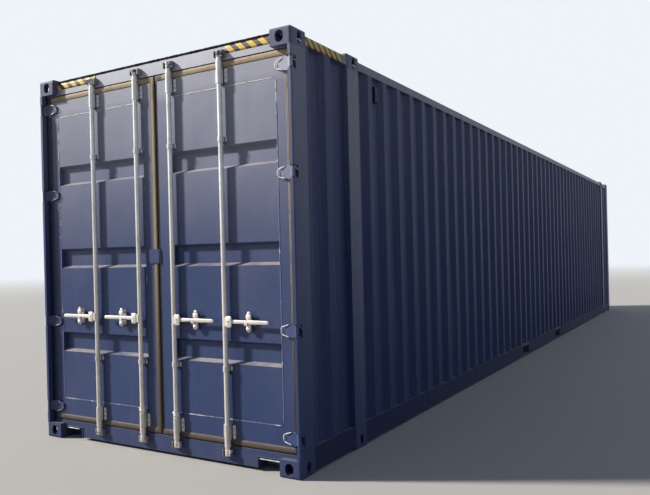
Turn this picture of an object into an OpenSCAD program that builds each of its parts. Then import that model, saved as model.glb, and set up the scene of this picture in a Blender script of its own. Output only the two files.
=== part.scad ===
// Forty-five foot high-cube dry cargo container, millimetres.
// X runs across the width, Y along the length with the doors at the low end, Z is up.
// The origin is on the ground, under the middle of the box.

/* [Overall] */
// Length over the corner castings
length = 13716; // [13600:1:14630]
// Width over the corner castings
width = 2438; // [2430:1:2600]
// Height over the corner castings
height = 2896; // [2870:1:3050]
// Distance from an end of the box to its inner castings
inner_set_back = 762; // [740:1:790]

/* [Corner castings] */
// Size of a casting across the box
cast_x = 162; // [150:0.5:180]
// Size of a casting along the box
cast_y = 178; // [170:0.5:190]
// Height of a casting
cast_z = 118; // [112:0.5:126]
// Thickness of the face with the lifting slot
cast_slot_wall = 28.5; // [20:0.5:32]
// Thickness of the other casting walls
cast_wall = 14; // [10:0.5:18]
// Length of the lifting slot
slot_length = 124.5; // [110:0.5:130]
// Width of the lifting slot
slot_width = 63.5; // [50:0.5:66]
// Slot centre from the end face of the casting
slot_from_end = 103.5; // [96:0.5:108]
// Slot centre from the side face of the casting
slot_from_side = 89.5; // [80:0.5:92]
// Height of the holes in the end and side faces
hole_height = 79.5; // [60:0.5:84]
// Width of the hole in the end face
end_hole_width = 63.5; // [50:0.5:66]
// Width of the hole in the side face
side_hole_width = 51; // [45:0.5:66]
// Rounding of the outer edges of a casting
cast_round = 18; // [4:0.5:20]

/* [Posts] */
// Thickness of the pressed outer sections
press_t = 6; // [4:0.5:8]
// Outer radius of the bend along the corner of those sections
press_bend = 9; // [6:0.5:10]
// Width of the lip on the end face of a door post
lip_width = 28; // [18:0.5:30]
// Depth of the folded return behind that lip
lip_return = 40; // [30:0.5:48]
// Width of the rolled channel inside a door post
channel_web = 116; // [104:0.5:120]
// Leg of that channel
channel_leg = 30; // [26:0.5:44]
// Thickness of that channel
channel_t = 12; // [8:0.5:14]
// How far that channel starts inside the folded return
channel_step = 4; // [2:0.5:6]
// Depth of a front corner post across the box
front_post_x = 150; // [110:1:160]
// Depth of an inner post into the box
inner_post_x = 50; // [40:1:60]

/* [Header and sill] */
// Set-back of the header and sill faces from the end of the box
face_back = 48; // [46:0.5:54]
// Depth of the header and sill along the box
beam_depth = 102; // [90:1:110]
// Plate thickness of the header and sill
beam_t = 4; // [3:0.5:6]
// Gap from the top of the box to the header
header_drop = 12; // [6:1:16]
// Height of the header face
header_face = 111; // [109:1:130]
// Upper edge of the sill face
sill_top = 140; // [130:1:146]
// Ground clearance of the sill and rails
ground_gap = 22; // [12:1:26]
// Depth of the stop that the door seals close on
stop_back = 62; // [58:1:66]
// Overlap of that stop over the door edge
stop_lap = 32; // [20:1:40]
// Width of the cut-out in the sill beside each casting
sill_cut_width = 200; // [150:1:240]
// Top of the sill cut-out, from the ground
sill_cut_top = 94; // [80:1:100]
// Thickness of the plates that line the cut-out, and how far they stand out
sill_liner = 6; // [4:0.5:8]

/* [Side rails] */
// Height of the bottom side rail
rail_height = 150; // [140:1:152]
// Flange of the bottom side rail
rail_flange = 48; // [36:1:50]
// Bottom flange of the bottom side rail
rail_foot = 30; // [20:1:40]
// Thickness of the bottom side rail
rail_t = 4.5; // [3:0.5:6]
// Set-back of the rails from the casting faces
rail_back = 4; // [2:0.5:6]
// Size of the square top side rail
top_rail = 60; // [50:1:66]
// Wall thickness of the top side rail
top_rail_t = 3; // [2.5:0.5:5]
// Gap from the top of the box to the top side rail
top_rail_drop = 32; // [28:1:36]

/* [Walls] */
// Thickness of the wall sheets
sheet_t = 2; // [1.6:0.1:3]
// Depth of the side corrugation
side_depth = 36; // [26:1:42]
// Width of an outer face of the side corrugation
side_outer = 72; // [60:1:80]
// Width of a slope of the side corrugation
side_slope = 68; // [40:1:70]
// Spacing of the side wall ribs, before it is fitted to the length
rib_pitch = 278; // [270:1:360]
// First rib from the inner post
first_rib = 176; // [150:1:180]
// Flat beside the corner post on an end panel
end_flat = 44; // [20:1:60]
// Valley of an end panel
end_valley = 78; // [60:1:84]
// Rib of an end panel
end_rib = 84; // [60:1:90]
// Depth of the front wall corrugation
front_depth = 46; // [30:1:50]
// Width of an outer face of the front corrugation
front_outer = 110; // [90:1:115]
// Width of a slope of the front corrugation
front_slope = 18; // [10:1:30]
// Spacing of the front wall ribs
front_pitch = 250; // [240:1:280]
// Set-back of the wall sheets from the casting faces
wall_back = 6; // [5:0.5:8]

/* [Roof] */
// Height of the stamped roof ribs
roof_rise = 18; // [12:1:20]
// Spacing of the roof ribs
roof_pitch = 209; // [180:1:240]
// Flat top of a roof rib
roof_top = 60; // [40:1:80]
// Slope of a roof rib
roof_slope = 40; // [20:1:45]
// Flat roof beside the ends of the ribs
roof_margin = 190; // [175:1:240]
// Slope at the ends of a roof rib
roof_ramp = 60; // [30:1:80]
// Length of the flat plate at each end of the roof
roof_plate = 330; // [250:1:400]
// Thickness of that plate
roof_plate_t = 4; // [3:0.5:6]
// Set-back of the roof sheet from the outer face of the top side rails
roof_edge = 10; // [6:0.5:16]

/* [Floor] */
// Thickness of the floor boards
floor_t = 28; // [21:1:30]
// Gap between the floor boards and the side rails
floor_side_gap = 59; // [57:1:70]
// Width of the rail along the middle of the floor
centre_rail = 50; // [30:1:70]
// Width of a floor cross member
member_flange = 45; // [35:1:60]
// Thickness of a floor cross member
member_t = 4; // [3:0.5:6]
// Spacing of the cross members
member_pitch = 300; // [250:1:400]
// Distance from the middle of the box to a fork pocket
pocket_offset = 1025; // [900:1:1100]
// Width of a fork pocket
pocket_width = 360; // [340:1:380]
// Height of a fork pocket
pocket_height = 112; // [100:1:113]
// Plate thickness round a fork pocket
pocket_t = 5; // [3:0.5:6]
// Gap between the plates round a fork pocket, which the weld fills
weld_gap = 0.3; // [0.2:0.1:0.5]
// Length of the strap under a fork pocket
strap_length = 200; // [150:1:300]
// Width of the gooseneck tunnel
tunnel_width = 1029; // [1020:1:1040]
// Length of the gooseneck tunnel
tunnel_length = 3500; // [3200:10:3900]
// Plate thickness of the gooseneck tunnel
tunnel_t = 5; // [3:0.5:6]

/* [Ventilators] */
// Width of a ventilator
vent_width = 64; // [50:1:68]
// Height of a ventilator
vent_height = 130; // [100:1:180]
// Depth of a ventilator
vent_depth = 27; // [15:1:32]
// Number of slots in a ventilator
vent_slots = 5; // [2:1:6]
// Height of a slot
vent_slot = 5; // [3:0.5:7]
// Start of the lowest slot, as a share of the spacing of the slots
vent_first = 0.4; // [0.2:0.05:0.5]
// Thickness of its side walls
vent_wall = 3; // [2:0.5:5]
// Top of a ventilator, below the top side rail
vent_drop = 50; // [40:1:100]

/* [Doors] */
// Set-back of the outer door face from the end of the box
door_back = 55; // [53:1:60]
// Thickness of the door frames
door_t = 50; // [40:1:50]
// Width of the hinge-side door member
hinge_member = 86; // [70:1:100]
// Width of the member of the left door beside the centre gap
meeting_left = 83; // [76:1:100]
// Width of the member of the right door beside the centre gap
meeting_right = 122; // [100:1:130]
// Height of the door members at the top and bottom
cross_member = 136; // [120:1:150]
// Thickness of the door members
member_wall = 3; // [2.5:0.5:4]
// Width of the seal at the hinge edge
seal_side = 12; // [10:1:14]
// Width of the seal of the left door at the centre gap
seal_left = 41; // [36:1:44]
// Width of the seal of the right door at the centre gap
seal_right = 12; // [10:1:14]
// Height of the seal at the top and bottom edges
seal_ends = 38; // [30:1:40]
// Gap between a seal and what it closes on
seal_gap = 5; // [3:0.5:8]
// Gap between the two doors at the middle
door_gap = 6; // [5:0.5:10]
// Set-back of the seal from the outer door face
seal_back = 5; // [3:0.5:10]
// Depth of the channels pressed into the door panel
press_depth = 38; // [20:1:42]
// Height of a channel at the outer door face
press_height = 156; // [120:1:170]
// Height of a slope of a channel
press_slope = 20; // [12:1:45]
// Heights of the channel centres, as shares of the height of the panel
press_shares = [0.202, 0.497, 0.790];

/* [Hinges] */
// Hinge pin centre from the side and end faces
pin_in = 14; // [14:0.5:16]
// Radius of a hinge pin
pin_r = 7; // [5:0.5:8]
// Radius of the hinge barrel
barrel_r = 13; // [11:0.5:13]
// Radial clearance of a barrel on its pin
pin_fit = 0.3; // [0.1:0.1:0.5]
// Height of the window cut in the post for a hinge
hinge_window = 88; // [80:1:100]
// Land between that window and the rolled channel
window_land = 4; // [2:0.5:6]
// Thickness of a hinge lug
lug_t = 12; // [8:1:14]
// Gap above and below a hinge barrel
barrel_gap = 0.8; // [0.3:0.1:2]
// Thickness of a hinge blade
blade_t = 20; // [12:1:20]
// How far the flat part of a hinge blade starts inside the line of the post
blade_start = 8; // [4:1:12]
// Distance from the side of the box to the end of a hinge blade
blade_reach = 150; // [120:1:158]
// Height of a hinge blade at its inner end
blade_tip = 48; // [30:1:62]
// Height of a hinge blade beside the post
blade_height = 92; // [70:1:96]
// Gap between a hinge barrel and the start of the flare of its blade
flare_gap = 5; // [3:0.5:8]
// Height of the lowest hinge, from the ground
hinge_low = 250; // [235:1:300]
// Height of the next hinge, from the ground
hinge_mid_low = 945; // [800:1:1100]
// Distance of the third hinge from the top of the box
hinge_mid_drop = 930; // [800:1:1100]
// Distance of the highest hinge from the top of the box
hinge_drop = 231; // [225:1:300]
// Width of a hinge lug
lug_width = 16; // [12:1:20]
// How far the neck of a blade starts inside its barrel
neck_in = 1; // [0.5:0.5:3]
// Where the two sides of the neck leave the barrel, as angles from the width axis
neck_angles = [14, 118];

/* [Lock gear] */
// Distance of the inner rod of the left door from the middle of the box
rod_left_inner = 170; // [150:1:180]
// Distance of the outer rod of the left door from the middle of the box
rod_left_outer = 632; // [615:1:650]
// Distance of the inner rod of the right door from the middle of the box
rod_right_inner = 162; // [150:1:180]
// Distance of the outer rod of the right door from the middle of the box
rod_right_outer = 622; // [615:1:650]
// Radius of a lock rod
rod_r = 17; // [13:0.5:17]
// Rod centre from the end face of the box
rod_back = 24; // [22:0.5:26]
// Lower end of a lock rod, from the ground
rod_low = 78; // [70:1:90]
// Distance of the upper end of a lock rod from the top of the box
rod_drop = 62; // [56:1:72]
// Height of a cam
cam_height = 40; // [30:1:45]
// Outer radius of the cam hooks
cam_reach = 34; // [30:0.5:36]
// Thickness of a cam hook
cam_hook = 5; // [4:0.5:6]
// Radius of the hub of a cam
cam_hub = 20; // [18.5:0.5:21]
// Half the angle that a cam hook spans
cam_angle = 33; // [25:1:34]
// Radius of the stud of a keeper
keeper_r = 3; // [2:0.5:3.5]
// Thickness of the keeper shelf
keeper_t = 6; // [4:0.5:8]
// How far the keeper shelf reaches past its stud
shelf_lap = 2; // [1:0.5:3]
// How far a keeper jaw stands out past the rod centre, as a share of its depth behind it
jaw_share = 0.5; // [0.3:0.05:0.6]
// Gap between a cam and the keeper shelf
keeper_gap = 1; // [0.5:0.1:2]
// Radial clearance of a rod in its bearings
rod_fit = 0.5; // [0.3:0.1:1]
// Thickness of the bearing straps
strap_t = 4; // [3:0.5:5]
// Width of a flange of a bearing bracket
bracket_ear = 26; // [20:1:34]
// Radius of the corners of the bracket flanges
ear_round = 12; // [4:1:12]
// Height of the upper and lower bearing brackets
bracket_height = 106; // [80:1:130]
// Height of the middle guides
guide_height = 34; // [25:1:50]
// Centre height of the lower bearing brackets, from the ground
bracket_low = 236; // [236:1:260]
// Distance of the upper bearing brackets from the top of the box
bracket_drop = 229; // [220:1:260]
// Centre height of the lower guides, from the ground
guide_low = 669; // [500:1:800]
// Distance of the upper guides from the top of the box
guide_drop = 663; // [500:1:800]
// Height of the door handles, from the ground
handle_level = 993; // [900:1:1100]
// Middle of a handle, from the end face of the box
handle_at = 15; // [15:0.5:26]
// Length of a handle from its rod
handle_length = 367; // [340:1:380]
// Height of the handle bar
handle_height = 24; // [18:1:30]
// Height of the handle bar at its waist
handle_waist = 19; // [14:1:22]
// How much larger the eye of a handle is than half the height of its bar
eye_swell = 3; // [1:0.5:5]
// Thickness of the handle bar
handle_t = 12; // [8:1:12]
// Distance from the rod to the handle pivot
pivot_out = 34; // [30:1:40]
// Radius of the handle pivot
pivot_r = 6; // [4:0.5:7]
// Radius of the cheeks that carry a handle
cheek_r = 29; // [16:1:30]
// Thickness of those cheeks
cheek_t = 5; // [4:0.5:5]
// Gap between a cheek and the handle
cheek_gap = 1; // [0.5:0.5:1.5]
// Height and overlap of the pivot pin's head
pin_head = 2.5; // [1.5:0.5:2.5]
// Radius of the forged sleeves at the ends of a rod
sleeve_r = 21; // [18:0.5:22]
// Height of those sleeves
sleeve_height = 46; // [20:1:60]
// Distance from the rod to the handle catch
catch_out = 186; // [140:1:200]
// Width of the handle catch
catch_width = 44; // [30:1:60]
// Height of the handle catch
catch_height = 112; // [90:1:130]
// Radius of the bosses of the handle catch
catch_boss = 14; // [10:1:15]
// Taper of those bosses
boss_taper = 4; // [2:0.5:6]
// Gap between a boss and the back of the handle
boss_gap = 2; // [1:0.5:4]
// Thickness of the catch plate and of its lip
catch_t = 5; // [4:0.5:6]
// Gap between the handle and its catch
catch_gap = 0.5; // [0.3:0.1:1]
// Thickness of the catch ledge
ledge_t = 8; // [6:1:10]
// Height of the catch lip
catch_lip = 8; // [4:1:10]
// Width of the plate that laps the two doors
lap_width = 103; // [80:1:110]
// Height of that plate
lap_height = 102; // [80:1:130]
// Height of its centre, from the ground
lap_level = 1450; // [1400:1:1500]
// Edge of that plate on the right door, from the middle
lap_seat = 24; // [24:1:40]
// Thickness of that plate
lap_t = 5; // [4:0.5:6]
// Gap between that plate and the left door
lap_gap = 9; // [5:0.5:10]

/* [Hidden] */
$fn = 48;
paint = [0.10, 0.14, 0.25];
paint_light = [0.16, 0.20, 0.33];
zinc = [0.72, 0.74, 0.76];
seal_tan = [0.45, 0.38, 0.28];
wood = [0.55, 0.38, 0.22];
half_l = length / 2;
half_w = width / 2;
over = 1;
casting_top = height - cast_z;
rail_top = ground_gap + rail_height;
top_rail_high = height - top_rail_drop;
top_rail_low = top_rail_high - top_rail;
header_top = height - header_drop;
header_low = header_top - header_face;
hinge_levels = [hinge_low, hinge_mid_low, height - hinge_mid_drop, height - hinge_drop];
bracket_levels = [bracket_low, height - bracket_drop];
guide_levels = [guide_low, height - guide_drop];
rod_high = height - rod_drop;
beam_end = face_back + beam_depth;
stop_at = face_back + stop_back;
floor_low = rail_top - floor_t;
channel_at = cast_y - channel_web;
reveal = lip_width - press_t + channel_step + channel_leg;
cargo_half = half_w - cast_x;
side_back = half_w - rail_back;
inner_far = inner_set_back + cast_y;
member_low = ground_gap + rail_t;
leaf_low = sill_top + seal_gap + seal_ends;
leaf_high = header_low - seal_gap - seal_ends;
leaf_out = half_w - reveal - seal_gap - seal_side;
edge_left = door_gap / 2 + seal_left;
edge_right = door_gap / 2 + seal_right;
panel_out = leaf_out - hinge_member;
rods_left = [rod_left_inner, rod_left_outer];
rods_right = [rod_right_inner, rod_right_outer];
panel_low = leaf_low + cross_member;
panel_high = leaf_high - cross_member;
handle_back = handle_at - handle_t / 2;
run_slot = cam_hub + (cam_reach - cam_hook - cam_hub) / 2;
eye_half = handle_height / 2 + eye_swell;
handle_neck = catch_out - pivot_out + catch_width / 2;

module both_sides() {
    children();
    mirror([1, 0, 0]) children();
}

module both_ends() {
    children();
    mirror([0, 1, 0]) children();
}

// Corner frame: first axis runs inwards from the side face, second inwards from the door end.
module corner() {
    translate([half_w, -half_l, 0]) mirror([1, 0, 0]) children();
}

// Rounded-end slot outline of length a and width b, along the first axis.
module slot(a, b) {
    square([a - b, b], center = true);
    for (s = [-1, 1]) translate([s * (a - b) / 2, 0]) circle(d = b);
}

// Rectangle a by b from the origin, with only the corner at the origin rounded.
module nose(a, b, r) {
    translate([r, r]) circle(r);
    translate([r, 0]) square([a - r, b]);
    translate([0, r]) square([a, b - r]);
}

// Casting with its outer corner at the origin and its slotted face down.
module casting(has_end_hole) {
    inner = [cast_x - 2 * cast_wall, cast_y - 2 * cast_wall, cast_z - cast_slot_wall - cast_wall];
    difference() {
        intersection() {
            linear_extrude(cast_z) nose(cast_x, cast_y, cast_round);
            translate([0, cast_y, 0]) rotate([90, 0, 0]) linear_extrude(cast_y)
                nose(cast_x, cast_z, cast_round);
            multmatrix([[0, 0, 1, 0], [1, 0, 0, 0], [0, 1, 0, 0]])
                linear_extrude(cast_x) nose(cast_y, cast_z, cast_round);
        }
        translate([cast_wall, cast_wall, cast_slot_wall]) cube(inner);
        translate([slot_from_side, slot_from_end, -over]) rotate(90)
            linear_extrude(cast_slot_wall + 2 * over) slot(slot_length, slot_width);
        translate([-over, slot_from_end, cast_z / 2]) rotate([0, 90, 0])
            linear_extrude(cast_wall + 2 * over) slot(hole_height, side_hole_width);
        if (has_end_hole)
            translate([slot_from_side, cast_wall + over, cast_z / 2]) rotate([90, 90, 0])
                linear_extrude(cast_wall + 2 * over) slot(hole_height, end_hole_width);
    }
}

module casting_pair(has_end_hole) {
    casting(has_end_hole);
    translate([0, 0, height]) mirror([0, 0, 1]) casting(has_end_hole);
}

module corner_castings() {
    color(paint_light) both_ends() both_sides() corner() casting_pair(true);
}

module inner_castings() {
    color(paint_light) both_ends() both_sides() corner() translate([0, inner_set_back, 0])
        casting_pair(false);
}

// Door post section: pressed outer plate with its folded lip, and the rolled channel inside.
module door_post_outline() {
    intersection() {
        nose(lip_width, cast_y, press_bend);
        union() {
            square([press_t, cast_y]);
            square([lip_width, press_t]);
        }
    }
    translate([lip_width - press_t, 0]) square([press_t, lip_return]);
    translate([0, channel_at]) square([reveal - channel_leg, press_t]);
    translate([0, cast_y - press_t]) square([reveal - channel_leg, press_t]);
    translate([reveal - channel_t, channel_at]) square([channel_t, cast_y - channel_at]);
    translate([reveal - channel_leg, channel_at]) square([channel_leg, channel_t]);
    translate([reveal - channel_leg, cast_y - channel_t]) square([channel_leg, channel_t]);
}

module door_post() {
    difference() {
        translate([0, 0, cast_z]) linear_extrude(casting_top - cast_z) door_post_outline();
        for (z = hinge_levels)
            translate([-over, -over, z - hinge_window / 2])
                cube([lip_width + 2 * over, channel_at - window_land + over, hinge_window]);
    }
}

module door_posts() {
    color(paint) both_sides() corner() door_post();
}

module front_post() {
    translate([0, 0, cast_z]) linear_extrude(casting_top - cast_z) {
        intersection() {
            nose(front_post_x, cast_y, press_bend);
            union() {
                square([press_t, cast_y]);
                square([front_post_x, press_t]);
            }
        }
        translate([front_post_x - press_t, 0]) square([press_t, wall_back + front_depth + 2 * sheet_t]);
        translate([0, cast_y - press_t]) square([inner_post_x, press_t]);
        translate([inner_post_x - press_t, wall_back + front_depth])
            square([press_t, cast_y - wall_back - front_depth]);
        translate([inner_post_x - press_t, wall_back + front_depth + 2 * sheet_t - press_t])
            square([front_post_x - inner_post_x + press_t, press_t]);
    }
}

module front_posts() {
    color(paint) mirror([0, 1, 0]) both_sides() corner() front_post();
}

module inner_post() {
    translate([0, inner_set_back, cast_z]) linear_extrude(casting_top - cast_z) difference() {
        square([inner_post_x, cast_y]);
        translate([press_t, press_t]) square([inner_post_x - press_t + over, cast_y - 2 * press_t]);
    }
}

module inner_posts() {
    color(paint) both_ends() both_sides() corner() inner_post();
}

// Extrudes an outline in the length and height axes right across the box.
module across(half_span) {
    translate([-half_span, -half_l, 0]) multmatrix([[0, 0, 1, 0], [1, 0, 0, 0], [0, 1, 0, 0]])
        linear_extrude(2 * half_span) children();
}

// Hollow beam outline: outer polygon less the same shape kept one plate thickness inside.
module header_outline() {
    difference() {
        union() {
            translate([face_back, header_low]) square([beam_depth, header_top - header_low]);
            translate([stop_at, header_low - stop_lap]) square([beam_end - stop_at, stop_lap + over]);
            translate([beam_end - over, top_rail_high]) square([cast_y - beam_end + over, roof_plate_t]);
        }
        translate([face_back + beam_t, header_low + beam_t])
            square([beam_depth - 2 * beam_t, header_top - header_low - 2 * beam_t]);
        translate([stop_at + beam_t, header_low - stop_lap + beam_t])
            square([beam_end - stop_at - 2 * beam_t, stop_lap + beam_t]);
    }
}

module door_header() {
    color(paint) intersection() {
        across(half_w - reveal) header_outline();
        translate([0, -half_l + cast_y, casting_top]) union() {
            translate([-cargo_half, -cast_y, -over]) cube([2 * cargo_half, cast_y, cast_z]);
            translate([-half_w, -cast_y, -cast_z]) cube([width, cast_y, cast_z]);
        }
    }
}

module sill_outline() {
    difference() {
        union() {
            translate([face_back, ground_gap]) square([beam_depth, sill_top - ground_gap]);
            translate([stop_at, sill_top - over]) square([beam_end - stop_at, rail_top - sill_top + over]);
        }
        translate([face_back + beam_t, ground_gap + beam_t])
            square([beam_depth - 2 * beam_t, sill_top - ground_gap - 2 * beam_t]);
        translate([stop_at + beam_t, sill_top - 2 * beam_t])
            square([beam_end - stop_at - 2 * beam_t, rail_top - sill_top + beam_t]);
    }
}

module door_sill() {
    color(paint) difference() {
        intersection() {
            across(half_w - reveal) sill_outline();
            translate([0, -half_l, 0]) union() {
                translate([-cargo_half, 0, 0]) cube([2 * cargo_half, cast_y, cast_z + over]);
                translate([-half_w, 0, cast_z]) cube([width, cast_y, cast_z]);
            }
        }
        both_sides() corner() translate([cast_x - over, face_back - over, 0])
            cube([sill_cut_width + over, beam_depth - beam_t + over, sill_cut_top]);
    }
    color(paint) both_sides() corner() translate([cast_x, face_back - sill_liner, 0]) {
        deep = beam_depth - beam_t + sill_liner;
        translate([0, 0, sill_cut_top]) cube([sill_cut_width + sill_liner, deep, sill_liner]);
        translate([sill_cut_width, 0, ground_gap])
            cube([sill_liner, deep, sill_cut_top + sill_liner - ground_gap]);
    }
}

module front_top_rail() {
    color(paint) mirror([0, 1, 0]) across(cargo_half) {
        difference() {
            translate([0, casting_top]) square([beam_depth, header_top - casting_top]);
            translate([beam_t, casting_top + beam_t])
                square([beam_depth - 2 * beam_t, header_top - casting_top - 2 * beam_t]);
        }
        translate([beam_depth - beam_t, top_rail_high]) square([cast_y - beam_depth + beam_t, roof_plate_t]);
    }
}

module front_bottom_rail() {
    color(paint) mirror([0, 1, 0]) difference() {
        across(cargo_half) difference() {
            translate([0, ground_gap]) square([beam_depth, rail_top - ground_gap]);
            translate([beam_t, ground_gap + beam_t])
                square([beam_depth - 2 * beam_t, rail_top - ground_gap - 2 * beam_t]);
        }
        translate([-tunnel_width / 2 - tunnel_t, -half_l - over, 0])
            cube([tunnel_width + 2 * tunnel_t, beam_depth + 2 * over, floor_low]);
    }
}

// Runs a rail outline, in the side and height axes, between two distances from the door end.
module along(from, to) {
    corner() translate([0, to, 0]) rotate([90, 0, 0]) linear_extrude(to - from) children();
}

module top_rail_outline() {
    difference() {
        translate([rail_back, top_rail_low]) square(top_rail);
        translate([rail_back + top_rail_t, top_rail_low + top_rail_t]) square(top_rail - 2 * top_rail_t);
    }
}

module bottom_rail_outline() {
    translate([rail_back, ground_gap]) square([rail_t, rail_height]);
    translate([rail_back, rail_top - rail_t]) square([rail_flange, rail_t]);
    translate([rail_back, ground_gap]) square([rail_foot, rail_t]);
}

module rail_runs() {
    along(inner_far, length - inner_far) children();
    both_ends() along(cast_y, inner_set_back) children();
}

module top_side_rails() {
    color(paint) both_sides() rail_runs() top_rail_outline();
}

pocket_half = pocket_width / 2 + pocket_t;

module bottom_side_rails() {
    color(paint) difference() {
        both_sides() rail_runs() bottom_rail_outline();
        for (s = [-1, 1]) translate([-half_w, s * pocket_offset - pocket_half - weld_gap, 0])
            cube([width, 2 * (pocket_half + weld_gap), rail_top + over]);
    }
}

// Points of a corrugated line: from the start, each rib rises by its slope, runs and falls again.
function ribs(first, count, pitch, slope, face, depth) = [for (i = [0 : count - 1]) each [
    [first + i * pitch - slope, depth], [first + i * pitch, 0],
    [first + i * pitch + face, 0], [first + i * pitch + face + slope, depth]]];

// Closed outline of a sheet that follows a line, given its thickness.
function sheet(line, t) = concat(line, [for (i = [len(line) - 1 : -1 : 0]) line[i] + [0, t]]);

side_run = length - 2 * inner_far;
side_span = side_run - 2 * first_rib - side_outer;
side_ribs = round(side_span / rib_pitch) + 1;
side_pitch = side_span / (side_ribs - 1);
side_line = concat([[0, side_depth]],
    ribs(first_rib, side_ribs, side_pitch, side_slope, side_outer, side_depth),
    [[side_run, side_depth]]);

module wall(line, at) {
    corner() translate([wall_back, at, rail_top]) linear_extrude(top_rail_low - rail_top)
        polygon([for (p = sheet(line, sheet_t)) [p[1], p[0]]]);
}

module side_walls() {
    color(paint) both_sides() wall(side_line, inner_far);
}

end_first = end_flat + side_slope + end_valley;
end_last = end_first + 2 * side_slope + end_rib;
end_line = [[0, 0], [end_flat, 0], [end_flat + side_slope, side_depth], [end_first, side_depth],
    [end_first + side_slope, 0], [end_first + side_slope + end_rib, 0], [end_last, side_depth],
    [inner_set_back - cast_y, side_depth]];

module end_panels() {
    color(paint) both_ends() both_sides() wall(end_line, cast_y);
}

front_run = 2 * (half_w - front_post_x);
front_ribs = floor((front_run - front_outer - 2 * front_slope) / front_pitch) + 1;
front_first = (front_run - (front_ribs - 1) * front_pitch - front_outer) / 2;
front_line = concat([[0, front_depth]], ribs(front_first, front_ribs, front_pitch, front_slope, front_outer,
    front_depth), [[front_run, front_depth]]);

module front_wall() {
    color(paint) translate([half_w - front_post_x, half_l - wall_back, rail_top]) rotate(180)
        linear_extrude(casting_top - rail_top) polygon(sheet(front_line, sheet_t));
}

// Roof sheet: the long ribbed outline crossed with the outline that closes the rib ends.
roof_from = beam_end + roof_plate;
roof_run = length - 2 * roof_from;
roof_count = floor((roof_run - roof_top - 2 * roof_slope) / roof_pitch);
roof_first = (roof_run - (roof_count - 1) * roof_pitch - roof_top) / 2;
roof_half = side_back - roof_edge;
rib_half = half_w - roof_margin;

function roof_line(drop) = concat([[0, -drop]], [for (i = [0 : roof_count - 1]) each [
    [roof_first + i * roof_pitch - roof_slope, -drop], [roof_first + i * roof_pitch, roof_rise - drop],
    [roof_first + i * roof_pitch + roof_top, roof_rise - drop],
    [roof_first + i * roof_pitch + roof_top + roof_slope, -drop]]], [[roof_run, -drop]]);

function roof_cross(drop, half) = [[-half, -drop], [-rib_half, -drop],
    [-rib_half + roof_ramp, roof_rise - drop],
    [rib_half - roof_ramp, roof_rise - drop], [rib_half, -drop], [half, -drop]];

// Fills from a line down to a floor, as a closed outline.
function down_to(line, low) = concat([[line[0][0], low]], line, [[line[len(line) - 1][0], low]]);

module roof_block(drop, low, grow) {
    intersection() {
        across(roof_half + grow) translate([roof_from, 0]) polygon(down_to(roof_line(drop), low));
        translate([0, half_l - roof_from + grow, 0]) rotate([90, 0, 0])
            linear_extrude(roof_run + 2 * grow) polygon(down_to(roof_cross(drop, roof_half + grow), low));
    }
}

module roof_sheet() {
    color(paint) translate([0, 0, top_rail_high + sheet_t]) difference() {
        roof_block(0, -sheet_t, 0);
        roof_block(sheet_t, -2 * sheet_t, over);
        both_ends() both_sides() corner() translate([-over, inner_set_back - over, -cast_z])
            cube([cast_x + 2 * over, cast_y + 2 * over, 2 * cast_z]);
    }
}

module roof_end_plates() {
    color(paint) both_ends() translate([-roof_half, -half_l + cast_y, top_rail_high])
        cube([2 * roof_half, roof_from - cast_y, roof_plate_t]);
}

// Cross member standing at a distance from the door end, as a channel that opens away from it.
module member(at, from, to) {
    for (part = [[member_low, member_flange, member_t], [member_low, member_t, floor_low - member_low],
        [floor_low - member_t, member_flange, member_t]])
        translate([from, -half_l + at, part[0]]) cube([to - from, part[1], part[2]]);
}

member_half = side_back - rail_t;
tunnel_from = length - tunnel_length;
function in_pocket(at) = min([for (s = [-1, 1]) abs(at + member_flange / 2 - half_l - s * pocket_offset)])
    < pocket_width / 2 + pocket_t + member_flange;
function in_inner(at) = (at > inner_set_back - member_flange && at < inner_far)
    || (at > length - inner_far - member_flange && at < length - inner_set_back);

module cross_members() {
    last_full = floor((tunnel_from - member_flange) / member_pitch);
    last_all = floor((length - cast_y - member_flange) / member_pitch);
    color(paint) {
        for (i = [1 : last_full]) if (!in_pocket(i * member_pitch))
            member(i * member_pitch, in_inner(i * member_pitch) ? -cargo_half : -member_half,
                in_inner(i * member_pitch) ? cargo_half : member_half);
        for (i = [last_full + 1 : last_all]) both_sides()
            member(i * member_pitch, tunnel_width / 2 + tunnel_t,
                in_inner(i * member_pitch) ? cargo_half : member_half);
    }
}

// Each pocket has two webs, a plate over them, and a strap and a length of rail at each side
module fork_pockets() {
    web_top = member_low + pocket_height;
    cover_low = web_top + weld_gap;
    cover_half = member_half - weld_gap;
    strap_half = pocket_width / 2 - weld_gap;
    color(paint) for (s = [-1, 1]) translate([0, s * pocket_offset, 0]) {
        for (from = [-pocket_half, pocket_width / 2]) translate([-side_back, from, ground_gap])
            cube([2 * side_back, pocket_t, web_top - ground_gap]);
        translate([-cover_half, -pocket_half, cover_low])
            cube([2 * cover_half, 2 * pocket_half, floor_low - cover_low]);
        both_sides() {
            translate([side_back - strap_length, -strap_half, ground_gap])
                cube([strap_length, 2 * strap_half, rail_t]);
            translate([side_back - rail_t, -pocket_half, cover_low])
                cube([rail_t, 2 * pocket_half, rail_top - cover_low]);
            translate([side_back - rail_flange, -pocket_half, rail_top - rail_t])
                cube([rail_flange, 2 * pocket_half, rail_t]);
        }
    }
}

module gooseneck_tunnel() {
    run = tunnel_length;
    color(paint) translate([0, half_l - run, 0]) {
        translate([-tunnel_width / 2 - tunnel_t, 0, floor_low - tunnel_t])
            cube([tunnel_width + 2 * tunnel_t, run, tunnel_t]);
        both_sides() translate([tunnel_width / 2, 0, ground_gap])
            cube([tunnel_t, run, floor_low - ground_gap]);
    }
}

module floor_boards() {
    side = half_w - floor_side_gap;
    color(wood) both_sides() translate([centre_rail / 2, -half_l + beam_end, floor_low])
        cube([side - centre_rail / 2, length - beam_end - beam_depth, floor_t]);
}

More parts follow.
